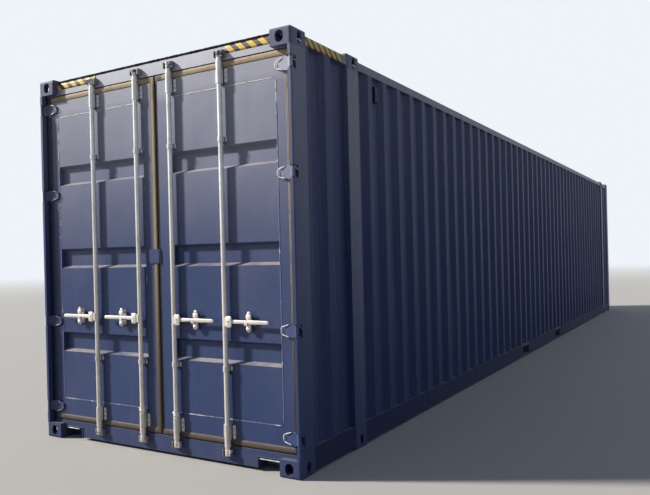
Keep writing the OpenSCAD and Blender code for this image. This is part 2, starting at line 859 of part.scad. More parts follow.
module floor_centre_rail() {
    color(paint_light) difference() {
        translate([-centre_rail / 2, -half_l + beam_end, floor_low])
            cube([centre_rail, length - beam_end - beam_depth, floor_t]);
        translate([-centre_rail / 2 + member_t, -half_l + beam_end - over, floor_low - over])
            cube([centre_rail - 2 * member_t, length, floor_t - member_t + over]);
    }
}

// Cover over the air holes: a box with a sloped roof and slots that look down.
module ventilator() {
    at = inner_far + first_rib + side_pitch / 2 + side_outer / 2;
    low = top_rail_low - vent_drop - vent_height;
    step = (vent_height - vent_depth) / vent_slots;
    corner() translate([wall_back + side_depth - vent_depth, at, low]) rotate([90, 0, 0]) {
        translate([0, 0, -vent_width / 2]) linear_extrude(vent_width) difference() {
            polygon([[0, 0], [vent_depth, 0], [vent_depth, vent_height], [0, vent_height - vent_depth / 2]]);
            for (i = [0 : vent_slots - 1]) translate([-over, step * (i + vent_first)])
                polygon([[0, 0], [vent_depth / 2, vent_slot],
                    [vent_depth / 2, 2 * vent_slot], [0, vent_slot]]);
        }
        for (z = [-vent_width / 2, vent_width / 2 - vent_wall])
            translate([0, 0, z]) linear_extrude(vent_wall)
            polygon([[0, 0], [vent_depth, 0], [vent_depth, vent_height], [0, vent_height - vent_depth / 2]]);
    }
}

module ventilators() {
    color(paint_light) {
        ventilator();
        rotate(180) ventilator();
    }
}

// Door hardware is drawn for the right door and mirrored for the left one.
module lug_outline() {
    translate([pin_in, pin_in]) circle(barrel_r);
    translate([pin_in - lug_width / 2, pin_in]) square([lug_width, channel_at - pin_in]);
}

module hinge_lug_set() {
    low = -hinge_window / 2;
    for (z = hinge_levels) corner() translate([0, 0, z]) {
        translate([0, 0, low]) linear_extrude(lug_t) lug_outline();
        translate([0, 0, -low - lug_t]) linear_extrude(lug_t) lug_outline();
        translate([pin_in, pin_in, low]) cylinder(r = pin_r, h = hinge_window);
    }
}

module hinge_lugs() {
    color(paint_light) both_sides() hinge_lug_set();
}

blade_root = reveal - blade_start;
module blade_plan() {
    translate([pin_in, pin_in]) circle(barrel_r);
    neck = [for (a = neck_angles) [pin_in, pin_in] + (barrel_r - neck_in) * [cos(a), sin(a)]];
    polygon([neck[1], neck[0], [blade_root, door_back - blade_t], [blade_root, door_back]]);
    polygon([[blade_root - over, door_back - blade_t], [blade_reach, door_back - blade_t / 2],
        [blade_reach, door_back], [blade_root - over, door_back]]);
}

module hinge_blade() {
    barrel = hinge_window - 2 * lug_t - 2 * barrel_gap;
    flare = pin_in + barrel_r + flare_gap;
    difference() {
        intersection() {
            translate([0, 0, -blade_height / 2]) linear_extrude(blade_height) blade_plan();
            translate([0, door_back, 0]) rotate([90, 0, 0]) linear_extrude(door_back)
                polygon([[0, -barrel / 2], [flare, -barrel / 2], [reveal, -blade_height / 2],
                    [blade_reach, -blade_tip / 2], [blade_reach, blade_tip / 2],
                    [reveal, blade_height / 2], [flare, barrel / 2], [0, barrel / 2]]);
        }
        translate([pin_in, pin_in, -barrel]) cylinder(r = pin_r + pin_fit, h = 2 * barrel);
    }
}

module hinge_blade_set() {
    for (z = hinge_levels) corner() translate([0, 0, z]) hinge_blade();
}

module tube_frame(from, to, low, high) {
    translate([from, -half_l + door_back, low]) difference() {
        cube([to - from, door_t, high - low]);
        translate([member_wall, member_wall, -over])
            cube([to - from - 2 * member_wall, door_t - 2 * member_wall, high - low + 2 * over]);
    }
}

module door_frame(leaf_in, meeting) {
    panel_in = leaf_in + meeting;
    tube_frame(leaf_in, panel_in, leaf_low, leaf_high);
    tube_frame(panel_out, leaf_out, leaf_low, leaf_high);
    for (z = [leaf_low, panel_high]) translate([panel_in, -half_l + door_back, z]) difference() {
        cube([panel_out - panel_in, door_t, cross_member]);
        translate([-over, member_wall, member_wall])
            cube([panel_out - panel_in + 2 * over, door_t, cross_member - 2 * member_wall]);
    }
}

press_half = press_height / 2;
press_line = concat([[panel_low, 0]], [for (share = press_shares)
    let (z = panel_low + share * (panel_high - panel_low))
    each [[z - press_half, 0], [z - press_half + press_slope, press_depth],
        [z + press_half - press_slope, press_depth], [z + press_half, 0]]], [[panel_high, 0]]);

module door_panel(panel_in) {
    translate([panel_in, -half_l + door_back, 0]) multmatrix([[0, 0, 1, 0], [0, 1, 0, 0], [1, 0, 0, 0]])
        linear_extrude(panel_out - panel_in) polygon(sheet(press_line, sheet_t));
}

module door_seal(leaf_in) {
    low = leaf_low - seal_ends;
    high = leaf_high + seal_ends;
    out = leaf_out + seal_side;
    inside = door_gap / 2;
    translate([0, -half_l + door_back + seal_back, 0]) difference() {
        translate([inside, 0, low]) cube([out - inside, door_t - seal_back, high - low]);
        translate([leaf_in, -over, leaf_low]) cube([leaf_out - leaf_in, door_t, leaf_high - leaf_low]);
    }
}

// Rectangle a by b round the origin, with its corners rounded.
module flange(a, b, r) {
    square([a - 2 * r, b], center = true);
    square([a, b - 2 * r], center = true);
    for (x = [r - a / 2, a / 2 - r], y = [r - b / 2, b / 2 - r]) translate([x, y]) circle(r);
}

// Bearing bracket: two ears on the door and a strap round the rod.
module bearing(z, high, ear) {
    outer = rod_r + rod_fit + strap_t;
    depth = door_back - rod_back;
    translate([0, rod_back, z - high / 2]) difference() {
        union() {
            cylinder(r = outer, h = high);
            translate([-outer, 0, 0]) cube([2 * outer, depth, high]);
            translate([0, depth, high / 2]) rotate([90, 0, 0]) linear_extrude(strap_t)
                flange(2 * (outer + ear), high, ear_round);
        }
        translate([0, 0, -over]) cylinder(r = rod_r + rod_fit, h = high + 2 * over);
    }
}

module rod_brackets(rods) {
    for (x = rods) translate([x, -half_l, 0]) {
        for (z = bracket_levels) bearing(z, bracket_height, bracket_ear);
        for (z = guide_levels) bearing(z, guide_height, bracket_ear / 2);
    }
}

// Half the height of a handle between its eye and its neck, at a distance from its pivot.
function handle_half(out) = eye_half + (handle_waist / 2 - eye_half) * out / handle_neck;

// Catch: a plate with a boss at each end, and a ledge with a lip that the handle drops behind.
module handle_catch() {
    half = catch_height / 2 - catch_boss;
    rest = -handle_half(catch_out - pivot_out - catch_width / 4) - catch_gap;
    rotate([90, 0, 0]) linear_extrude(catch_t) {
        translate([-catch_boss, -half]) square([2 * catch_boss, 2 * half]);
        for (z = [-half, half]) translate([0, z]) circle(catch_boss);
        square([catch_width, 2 * catch_boss], center = true);
    }
    for (z = [-half, half]) translate([0, 0, z]) rotate([90, 0, 0])
        cylinder(r1 = catch_boss, r2 = catch_boss - boss_taper,
            h = door_back - handle_back - handle_t - boss_gap);
    translate([-catch_width / 4, -(door_back - handle_back) - catch_gap - catch_t, rest - ledge_t])
        cube([catch_width / 2, door_back - handle_back + catch_gap + catch_t, ledge_t]);
    translate([-catch_width / 4, -(door_back - handle_back) - catch_gap - catch_t, rest - ledge_t])
        cube([catch_width / 2, catch_t, ledge_t + catch_lip]);
}

module handle_catches(rods) {
    for (x = rods)
        translate([x + catch_out, -half_l + door_back, handle_level]) handle_catch();
}

// Bent plate: seated on the right door, and standing clear over the edge of the left one.
module lap_plate() {
    seat = lap_seat - lap_width;
    translate([0, -half_l + door_back, lap_level - lap_height / 2]) linear_extrude(lap_height)
        polygon([[seat, -lap_gap - lap_t], [edge_right, -lap_gap - lap_t], [edge_right + lap_t, -lap_t],
            [lap_seat, -lap_t], [lap_seat, 0], [edge_right, 0], [edge_right - lap_t, -lap_gap],
            [seat, -lap_gap]]);
}

// Cam outline for a right-hand rod: a hub with one hook that turns round the stud of the keeper.
module cam_outline() {
    circle(cam_hub);
    intersection() {
        difference() {
            circle(cam_reach);
            circle(cam_reach - cam_hook);
        }
        polygon([[0, 0], 2 * cam_reach * [cos(cam_angle), -sin(cam_angle)],
            2 * cam_reach * [cos(cam_angle), sin(cam_angle)]]);
    }
    rotate(-cam_angle) translate([cam_hub - cam_hook, 0]) square([cam_reach - cam_hub, cam_hook]);
}

// Cheeks that carry a handle beside its rod, with the pivot pin through them.
module clevis() {
    for (y = [-handle_t / 2 - cheek_gap - cheek_t, handle_t / 2 + cheek_gap]) translate([0, y, 0]) {
        translate([0, 0, -cheek_r]) cube([pivot_out, cheek_t, 2 * cheek_r]);
        translate([pivot_out, 0, 0]) rotate([-90, 0, 0]) cylinder(r = cheek_r, h = cheek_t);
    }
    translate([pivot_out, -handle_t / 2 - cheek_gap - cheek_t - pin_head, 0]) rotate([-90, 0, 0]) {
        cylinder(r = pivot_r, h = handle_t + 2 * (cheek_gap + cheek_t + pin_head));
        cylinder(r = pivot_r + pin_head, h = pin_head);
    }
}

module lock_rod(x) {
    upper = max(bracket_levels) + bracket_height / 2 + keeper_gap;
    lower = min(bracket_levels) - bracket_height / 2 - keeper_gap;
    translate([x, -half_l + rod_back, 0]) {
        translate([0, 0, rod_low]) cylinder(r = rod_r, h = rod_high - rod_low);
        for (z = [rod_low, rod_high - cam_height])
            translate([0, 0, z]) linear_extrude(cam_height) cam_outline();
        translate([0, 0, upper]) cylinder(r = sleeve_r, h = sleeve_height);
        translate([0, 0, lower - sleeve_height]) cylinder(r = sleeve_r, h = sleeve_height);
        translate([0, handle_at - rod_back, handle_level]) clevis();
    }
}

// Handle: a forged eye, a waisted bar and a deeper grip with a round end.
module handle_outline() {
    grip = handle_length - pivot_out - handle_height / 2;
    shoulder = handle_neck + handle_height;
    circle(eye_half);
    polygon([[0, -eye_half], [handle_neck, -handle_waist / 2], [shoulder, -handle_height / 2],
        [grip, -handle_height / 2], [grip, handle_height / 2], [shoulder, handle_height / 2],
        [handle_neck, handle_waist / 2], [0, eye_half]]);
    translate([grip, 0]) circle(handle_height / 2);
}

module handle(x) {
    translate([x + pivot_out, -half_l + handle_back, handle_level]) rotate([-90, 0, 0]) difference() {
        linear_extrude(handle_t) handle_outline();
        translate([0, 0, -over]) cylinder(r = pivot_r + pin_fit, h = handle_t + 2 * over);
    }
}

module keeper_set(rods) {
    for (x = rods, up = [0, 1]) translate([x, -half_l + rod_back, 0]) {
        base = up ? rod_high + keeper_gap : rod_low - keeper_gap - keeper_t;
        stud = up ? rod_high - cam_height / 2 : rod_low - keeper_gap;
        jaw = up ? rod_high - cam_height : rod_low - keeper_gap;
        deep = face_back - rod_back;
        translate([-cam_reach - keeper_t, -keeper_r - shelf_lap, base])
            cube([2 * cam_reach + keeper_t, deep + keeper_r + shelf_lap, keeper_t]);
        translate([run_slot, 0, stud]) cylinder(r = keeper_r, h = cam_height / 2 + keeper_gap);
        translate([-cam_reach - keeper_t, -deep * jaw_share, jaw])
            cube([keeper_t, deep * (1 + jaw_share), cam_height + keeper_gap]);
    }
}

module cam_keepers() {
    color(paint_light) {
        keeper_set(rods_right);
        mirror([1, 0, 0]) keeper_set(rods_left);
    }
}

module door_frame_left() { color(paint) mirror([1, 0, 0]) door_frame(edge_left, meeting_left); }
module door_frame_right() { color(paint) door_frame(edge_right, meeting_right); }
module door_panel_left() { color(paint) mirror([1, 0, 0]) door_panel(edge_left + meeting_left); }
module door_panel_right() { color(paint) door_panel(edge_right + meeting_right); }
module door_seal_left() { color(seal_tan) mirror([1, 0, 0]) door_seal(edge_left); }
module door_seal_right() { color(seal_tan) door_seal(edge_right); }
module hinge_blades_left() { color(paint_light) mirror([1, 0, 0]) hinge_blade_set(); }
module hinge_blades_right() { color(paint_light) hinge_blade_set(); }
module rod_brackets_left() { color(zinc) mirror([1, 0, 0]) rod_brackets(rods_left); }
module rod_brackets_right() { color(zinc) rod_brackets(rods_right); }
module handle_catches_left() { color(zinc) mirror([1, 0, 0]) handle_catches(rods_left); }
module handle_catches_right() { color(zinc) handle_catches(rods_right); }
module door_lap_plate() { color(paint_light) lap_plate(); }
module lock_rod_1() { color(zinc) mirror([1, 0, 0]) lock_rod(rod_left_outer); }
module lock_rod_2() { color(zinc) mirror([1, 0, 0]) lock_rod(rod_left_inner); }
module lock_rod_3() { color(zinc) lock_rod(rod_right_inner); }
module lock_rod_4() { color(zinc) lock_rod(rod_right_outer); }
module handle_1() { color(zinc) mirror([1, 0, 0]) handle(rod_left_outer); }
module handle_2() { color(zinc) mirror([1, 0, 0]) handle(rod_left_inner); }
module handle_3() { color(zinc) handle(rod_right_inner); }
module handle_4() { color(zinc) handle(rod_right_outer); }

corner_castings();
inner_castings();
door_posts();
front_posts();
inner_posts();
door_header();
door_sill();
front_top_rail();
front_bottom_rail();
top_side_rails();
bottom_side_rails();
side_walls();
end_panels();
front_wall();
roof_sheet();
roof_end_plates();
cross_members();
fork_pockets();
gooseneck_tunnel();
floor_boards();
floor_centre_rail();
ventilators();
hinge_lugs();
cam_keepers();
door_frame_left();
door_frame_right();
door_panel_left();
door_panel_right();
door_seal_left();
door_seal_right();
hinge_blades_left();
hinge_blades_right();
rod_brackets_left();
rod_brackets_right();
handle_catches_left();
handle_catches_right();
door_lap_plate();
lock_rod_1();
lock_rod_2();
lock_rod_3();
lock_rod_4();
handle_1();
handle_2();
handle_3();
handle_4();
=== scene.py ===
import math

import bmesh
import bpy
import numpy as np
from mathutils import Matrix, Vector


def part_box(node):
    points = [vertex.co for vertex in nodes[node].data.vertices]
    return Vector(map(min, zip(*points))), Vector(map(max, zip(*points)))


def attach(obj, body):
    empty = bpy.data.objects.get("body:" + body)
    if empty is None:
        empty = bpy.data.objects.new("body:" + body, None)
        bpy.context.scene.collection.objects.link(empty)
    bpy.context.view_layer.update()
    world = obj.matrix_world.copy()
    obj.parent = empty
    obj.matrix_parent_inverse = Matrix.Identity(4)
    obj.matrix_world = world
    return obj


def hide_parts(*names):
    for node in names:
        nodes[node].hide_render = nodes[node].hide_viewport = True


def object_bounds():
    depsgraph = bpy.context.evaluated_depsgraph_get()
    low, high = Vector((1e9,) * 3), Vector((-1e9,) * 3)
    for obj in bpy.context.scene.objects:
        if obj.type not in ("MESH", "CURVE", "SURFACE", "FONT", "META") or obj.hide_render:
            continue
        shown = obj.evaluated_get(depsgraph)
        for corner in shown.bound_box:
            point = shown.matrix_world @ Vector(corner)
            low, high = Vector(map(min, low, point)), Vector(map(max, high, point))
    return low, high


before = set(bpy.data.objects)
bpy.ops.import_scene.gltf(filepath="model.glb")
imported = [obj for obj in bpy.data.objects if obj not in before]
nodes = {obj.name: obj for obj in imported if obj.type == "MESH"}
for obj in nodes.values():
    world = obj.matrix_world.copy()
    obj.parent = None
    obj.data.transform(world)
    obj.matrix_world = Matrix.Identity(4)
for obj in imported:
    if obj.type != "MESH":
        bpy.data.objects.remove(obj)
cad_low, cad_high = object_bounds()


# ---- Navy paint on the steelwork ----
# Pressed and folded steel, shot-blasted, primed and sprayed with a semi-gloss navy paint.
# Years outdoors have bleached it near the top, laid dust on its ledges and let rust start at chips.
# Its paleness near the top is also painted sheen, and a band under the header is a painted highlight.

class Tone:
    """A socket in the finish being made. An operator on it adds the Math node of that name."""
    tree = None

    def __init__(self, socket):
        self.socket = socket

    @classmethod
    def node(cls, kind, settings=(), values=(), out=0):
        """Adds a node: its settings go in first, then the numbers or links of its sockets."""
        made = cls.tree.nodes.new("ShaderNode" + kind)
        for key, value in dict(settings).items():
            setattr(made, key, value)
        for key, value in dict(values).items():
            if isinstance(value, Tone):
                cls.tree.links.new(value.socket, made.inputs[key])
            else:
                made.inputs[key].default_value = value
        return cls(made.outputs[out]) if made.outputs else None

    @staticmethod
    def math(operation, *values):
        return Tone.node("Math", {"operation": operation}, dict(enumerate(values)))

    def __add__(self, other):
        return Tone.math("ADD", self, other)

    def __sub__(self, other):
        return Tone.math("SUBTRACT", self, other)

    def __rsub__(self, other):
        return Tone.math("SUBTRACT", other, self)

    def __mul__(self, other):
        return Tone.math("MULTIPLY", self, other)

    def __truediv__(self, other):
        return Tone.math("DIVIDE", self, other)

    def __rtruediv__(self, other):
        return Tone.math("DIVIDE", other, self)

    __radd__ = __add__
    __rmul__ = __mul__


def stretched(place, x, y, z):
    """The place multiplied by a number along each axis."""
    return Tone.node("VectorMath", {"operation": "MULTIPLY"}, {0: place, 1: (x, y, z)})


def noise(place, scale, detail=4, rough=0.55, bend=0.0):
    """Soft clouds from 0 to 1, about as many to the metre as the scale says."""
    return Tone.node("TexNoise", {}, {"Vector": place, "Scale": scale, "Detail": detail,
                                      "Roughness": rough, "Distortion": bend})


def ramp(value, off, full):
    """0 where the value is at off or beyond it, 1 where it is at full or beyond it, and a smooth
    rise between the two. Full may lie below off."""
    return Tone.node("MapRange", {"interpolation_type": "SMOOTHSTEP"},
                     {"Value": value, "From Min": off, "From Max": full})


def over(mask, under, top):
    """The top colour laid over the under one where the mask is 1."""
    return Tone.node("Mix", {"data_type": "RGBA"}, {0: mask, 6: under, 7: top}, out=2)


def axes(place):
    """The x, y and z of a place or a direction, as three tones."""
    split = Tone.node("SeparateXYZ", {}, {0: place})
    return [Tone(split.socket.node.outputs[i]) for i in range(3)]


def dimmed(colour, share):
    """A share of the light of a colour, as an opaque colour."""
    return tuple(share * part for part in colour[:3]) + (1,)


def new_finish(name):
    """An empty material, which the nodes made after it go into, and the place on the object."""
    made = bpy.data.materials.new(name)
    made.use_nodes = True
    made.node_tree.nodes.clear()
    Tone.tree = made.node_tree
    return made, Tone.node("TexCoord", out=3)


def facing():
    """The direction that the surface faces, along x, y and z."""
    return axes(Tone.node("TexCoord", out=1))


def finished(colour, rough, height, relief=0.001, **constants):
    """Joins colour, roughness and a height, in units of the relief, to the surface."""
    values = {"Base Color": colour, "Roughness": rough}
    values.update({key.replace("_", " "): value for key, value in constants.items()})
    values["Normal"] = Tone.node("Bump", {}, {"Strength": 1.0, "Distance": relief,
                                              "Height": height})
    skin = Tone.node("BsdfPrincipled", {}, values)
    Tone.node("OutputMaterial", {}, {"Surface": skin})


NAVY = (0.034, 0.058, 0.158, 1)
PALE = (0.345, 0.352, 0.435, 1)
LINING = (0.40, 0.41, 0.40, 1)
SOILED = (0.27, 0.26, 0.235, 1)
RUST = (0.16, 0.055, 0.022, 1)
DUST = (0.40, 0.355, 0.325, 1)


def painted(name, shade=1.0, bleach=0.0, crest=0.0, settled=0.5, splash=0.0, rust=0.2, dents=0.0,
            cast=0.0, streaks=0.3, rough=0.42, gloss=0.3, lining="", **constants):
    """Paint that pales with height and in broad clouds, partly bleaching by weather and partly a
    painted sheen, with a painted highlight in a band just under the header, streaked downwards, dusty
    where it faces up and muddy near the ground, with rust where two noises both run high. A pale
    lining takes the faces that look back at the middle of the box along the named axis. Dents, the
    grain of a casting, mottling and chips are bumps."""
    made, place = new_finish(name)
    x, y, z = axes(place)
    along, across, up = facing()
    cloud = noise(place, 0.8, 5, 0.6)
    mottle = noise(place, 9, 6, 0.65)
    runs = noise(stretched(place, 7, 7, 0.35), 1.6, 6, 0.62)

    navy = dimmed(NAVY, shade)
    deep = dimmed(navy, 0.72)
    # The rise with height is part weather bleaching and part painted sheen; the band from 2.55 to
    # 2.65 m is a painted highlight.
    bleach_sheen_mask = ramp(z, 1.15, 2.9) + (cloud - 0.5) * 0.5
    base = over(ramp(mottle, 0.35, 0.7) * 0.4, navy, deep)
    base = over(bleach_sheen_mask * bleach + ramp(z, 2.55, 2.65) * crest, base, PALE)
    base = over(ramp(runs, 0.48, 0.30) * (0.35 * streaks), base, deep)
    base = over(ramp(runs, 0.56, 0.74) * (0.20 * streaks), base, DUST)
    if lining:
        outward = {"x": x * along, "y": y * across, "z": z * up}[lining]
        inside = over(ramp(runs, 0.5, 0.75) * 0.4, LINING, SOILED)
        base = over(ramp(outward, -0.1, -0.4), base, inside)

    dust = ramp(up, 0.3, 0.85) * ramp(noise(place, 3.1, 6), 0.2, 0.7) * (0.85 * settled)
    mud = ramp(z + (mottle - 0.5) * 0.35, 0.46, 0.0) * (0.42 * splash)
    grime = Tone.math("MAXIMUM", dust, mud)
    base = over(grime, base, DUST)
    chips = ramp(noise(place, 38, 3, 0.5), 0.70, 0.745) * ramp(noise(place, 2.3, 5), 0.52, 0.64)
    stains = ramp(noise(stretched(place, 24, 24, 3), 1, 5), 0.62, 0.78)
    stains = stains * ramp(noise(place, 1.4, 4), 0.55, 0.7)
    base = over(Tone.math("MINIMUM", (chips + stains * 0.35) * rust, 1.0), base, RUST)

    dull = rough + mottle * 0.08 + grime * 0.4 + chips * (0.3 * rust)
    height = noise(place, 160, 3) * 0.03 + mottle * 0.08 - chips * (0.2 * rust)
    if dents:
        height = height + noise(stretched(place, 1, 1, 0.8), 2.1, 2, 0.4) * (16 * dents)
    if cast:
        height = height + noise(place, 75, 5, 0.7) * (0.9 * cast)
    finished(base, dull, height, Specular_IOR_Level=gloss, **constants)
    return made


def dress(pieces, finish):
    """Gives the finish to the CAD pieces named."""
    for piece in pieces.split():
        nodes[piece].material_slots[0].material = finish


for finish, pieces, look in (
    ("navy_doors", "door_panel_left door_panel_right",
     dict(bleach=0.8, settled=0.9, rust=0.1, dents=0.9, streaks=0.2, rough=0.38, gloss=0.35,
          lining="y")),
    # The frames carry a painted highlight along their top.
    ("navy_door_frames", "door_frame_left door_frame_right door_lap_plate",
     dict(bleach=0.55, crest=0.4, settled=0.9, rust=0.15, dents=0.2, streaks=0.2, rough=0.38,
          gloss=0.35, lining="y")),
    ("navy_walls", "side_walls end_panels",
     dict(shade=0.9, bleach=0.12, settled=0.4, splash=0.1, dents=0.2, streaks=0.5, rough=0.5,
          gloss=0.15, lining="x")),
    ("navy_front", "front_wall",
     dict(shade=0.9, bleach=0.3, settled=0.4, splash=0.1, dents=0.2, streaks=0.5, rough=0.5,
          gloss=0.2, lining="y")),
    ("navy_posts", "door_posts front_posts inner_posts top_side_rails front_top_rail",
     dict(bleach=0.3, settled=0.4, dents=0.05)),
    # The header's paleness is mostly painted sheen and partly weather bleaching.
    ("navy_header", "door_header",
     dict(bleach=0.75, settled=0.2, rust=0.1, dents=0.05, streaks=0.2, rough=0.36, gloss=1.0,
          IOR=1.66)),
    ("navy_sills", "door_sill front_bottom_rail",
     dict(shade=0.95, splash=0.12, rust=0.35, dents=0.05, gloss=0.25)),
    # The bottom rails are darker than the sills as painted shade.
    ("navy_rails_painted_shade", "bottom_side_rails",
     dict(shade=0.6, splash=0.05, rust=0.4, dents=0.05, rough=0.55, gloss=0.1)),
    ("navy_roof", "roof_sheet roof_end_plates",
     dict(bleach=0.8, settled=0.75, rust=0.5, dents=0.4, streaks=0.1, lining="z")),
    ("navy_underside", "cross_members fork_pockets gooseneck_tunnel floor_centre_rail",
     dict(shade=0.6, splash=0.5, rust=1.0, dents=0.1, rough=0.55)),
    # The left hinge blades take the darker lug finish as painted shade, for the shadow of their post;
    # the right blades take a paler, brighter copy as painted highlight.
    ("navy_lugs_and_shaded_blades", "hinge_lugs hinge_blades_left",
     dict(shade=0.9, bleach=0.2, splash=0.1, rust=0.4, cast=0.25)),
    ("navy_blades_painted_highlight", "hinge_blades_right",
     dict(shade=1.15, bleach=1.0, crest=0.25, splash=0.1, rust=0.4, cast=0.25)),
    ("navy_castings", "corner_castings inner_castings",
     dict(shade=0.9, bleach=0.22, settled=0.4, splash=0.1, rust=0.4, cast=0.7, rough=0.5,
          gloss=0.25)),
):
    dress(pieces, painted(finish, **look))


# ---- Beads on the steelwork ----
# Where a door panel meets its frame, and where each hinge blade sits on the leaf, a thin run of weld
# and sealant stands proud. Its light line is partly paint worn off its crest and partly painted
# glint, more of it near the top; round the hinge blades it is a painted highlight of their edges.

door_end = cad_low.y


def surface(name, grids, finish, body, smooth=True, wall=0.0):
    """One piece from point grids, each (points, rows close, columns close), where the points are
    (rows, columns, 3). Doubled points are merged, and a closed shell faces outwards. A sheet gets
    the wall as its thickness, on the side that it faces."""
    points, faces, start = [], [], 0
    for grid, close_rows, close_columns in grids:
        rows, columns = grid.shape[:2]
        index = np.arange(rows * columns).reshape(rows, columns) + start
        if close_rows:
            index = np.vstack([index, index[:1]])
        if close_columns:
            index = np.hstack([index, index[:, :1]])
        corners = (index[:-1, :-1], index[1:, :-1], index[1:, 1:], index[:-1, 1:])
        faces.append(np.stack(corners, -1).reshape(-1, 4))
        points.append(grid.reshape(-1, 3))
        start += rows * columns
    mesh = bpy.data.meshes.new(name)
    mesh.from_pydata(np.vstack(points).tolist(), [], np.vstack(faces).tolist())
    work = bmesh.new()
    work.from_mesh(mesh)
    bmesh.ops.remove_doubles(work, verts=work.verts, dist=2e-6)
    if not wall:
        bmesh.ops.recalc_face_normals(work, faces=work.faces)
    work.to_mesh(mesh)
    work.free()
    mesh.polygons.foreach_set("use_smooth", np.full(len(mesh.polygons), smooth))
    mesh.materials.append(finish)
    made = bpy.data.objects.new(name, mesh)
    bpy.context.scene.collection.objects.link(made)
    if wall:
        shell = made.modifiers.new("wall", "SOLIDIFY")
        shell.thickness, shell.offset = wall, 1
    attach(made, body)
    return made


def bead(start, end, depth, wide, proud, seed=0.0, swing=0.16):
    """A run of weld from start to end, both (x, z), on a face at that depth: an ellipse half sunk in
    the face, carried along the line, swelling and thinning as three waves do and closed at both
    ends. The swing is the share of its size by which each wave swells it."""
    start, end = np.array(start), np.array(end)
    length = np.linalg.norm(end - start)
    count = max(int(length / 0.022), 6)
    t = np.linspace(0, 1, count)
    swell = 1 + swing * (np.sin(t * count * 1.9 + seed) + np.sin(t * count * 0.77 + 2 * seed)
                         + np.sin(t * count * 3.1 + 5 * seed))
    swell[[0, -1]] = 0
    angle = np.linspace(0, 2 * np.pi, 8, endpoint=False)
    ahead = (end - start) / length
    middle = start + t[:, None] * (end - start)
    offset = 0.5 * wide * swell[:, None] * np.cos(angle)
    x = middle[:, :1] - ahead[1] * offset
    z = middle[:, 1:] + ahead[0] * offset
    y = door_end + depth - proud * swell[:, None] * np.sin(angle)
    return np.stack([x, y, z], -1), False, True


def worn_and_glinting_bead(name, colour, from_share):
    """Navy paint over a light colour that stands partly for the bare seam and partly for a painted
    glint on it, which shows where a noise along it runs higher than the share, and more so near the
    top."""
    made, place = new_finish(name)
    patch = noise(place, 14, 4, 0.6)
    height = axes(place)[2]
    bare = ramp(patch + ramp(height, 0.8, 2.5) * 0.16, from_share, from_share + 0.16)
    base = over(bare, (0.10, 0.125, 0.20, 1), colour)
    finished(base, 0.5 + patch * 0.2, noise(place, 90, 3), 0.0004)
    return made


# The light colours of these beads stand partly for worn bare metal and partly for painted glints.
seam_finish = worn_and_glinting_bead("worn_glinting_seam", (0.60, 0.56, 0.50, 1), 0.48)
upright_finish = worn_and_glinting_bead("worn_glinting_upright_seam", (0.56, 0.54, 0.52, 1), 0.60)
edge_finish = worn_and_glinting_bead("worn_glinting_edge", (0.74, 0.71, 0.66, 1), 0.30)
hinge_levels, blade_face = (0.250, 0.945, 1.966, 2.665), 0.035
# A blade's outline, as (x, height from the middle of the hinge), from its root in the post round its
# tip on the leaf and back.
blade_root, blade_tip = cad_high.x - 0.082, cad_high.x - 0.1475
blade_outline = ((blade_root, 0.0425), (blade_tip, 0.0225), (blade_tip, -0.0225),
                 (blade_root, -0.0425))
for side, turn in (("left", -1), ("right", 1)):
    door = "door_" + side
    panel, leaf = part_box("door_panel_" + side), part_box("door_frame_" + side)
    near, far = sorted((turn * panel[0].x, turn * panel[1].x))
    low, high = panel[0].z, panel[1].z
    face = leaf[0].y - door_end
    level_seams = [bead((turn * near, z), (turn * far, z), face, wide=0.0075, proud=0.0018,
                        seed=turn + z) for z in (low, high)]
    surface("panel_seams_" + side, level_seams, seam_finish, door)
    near, far = turn * (near - 0.003), turn * (far + 0.004)
    upright_seams = [bead((near, low), (near, high), face, wide=0.004, proud=0.0016, seed=turn),
                     bead((far, low), (far, high), face, wide=0.010, proud=0.0020, seed=turn + 2)]
    surface("upright_seams_" + side, upright_seams, upright_finish, door)
    # On the right door the blade outlines take the light edge finish as a painted highlight; on the
    # left door, in the shadow of the post, they take the dimmer seam finish as painted shade.
    edges = [bead((turn * a[0], level + a[1]), (turn * b[0], level + b[1]), blade_face,
                  wide=0.0075, proud=0.0016, seed=level + a[1])
             for level in hinge_levels for a, b in zip(blade_outline, blade_outline[1:])]
    surface("hinge_edges_" + side, edges, edge_finish if turn > 0 else seam_finish, door)

# The recesses of the sill for a trailer's lock have a rubbed upper edge.
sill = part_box("door_sill")
recess_near, recess_far, recess_top = 0.866, 1.050, 0.085
rubbed = [bead((turn * recess_near, recess_top), (turn * recess_far, recess_top),
               sill[0].y - door_end, wide=0.008, proud=0.0014, seed=turn) for turn in (-1, 1)]
surface("sill_edges", rubbed, edge_finish, "box")


# ---- Galvanised lock gear ----
# Forged and pressed steel, hot-dip galvanised after it is made, so it is pale and faintly spangled.
# The tubes are whiter and cooler near the top and browner near the ground, a painted reflection of
# sky and ground, and greasy at the cams.

GREASE = (0.055, 0.05, 0.048, 1)


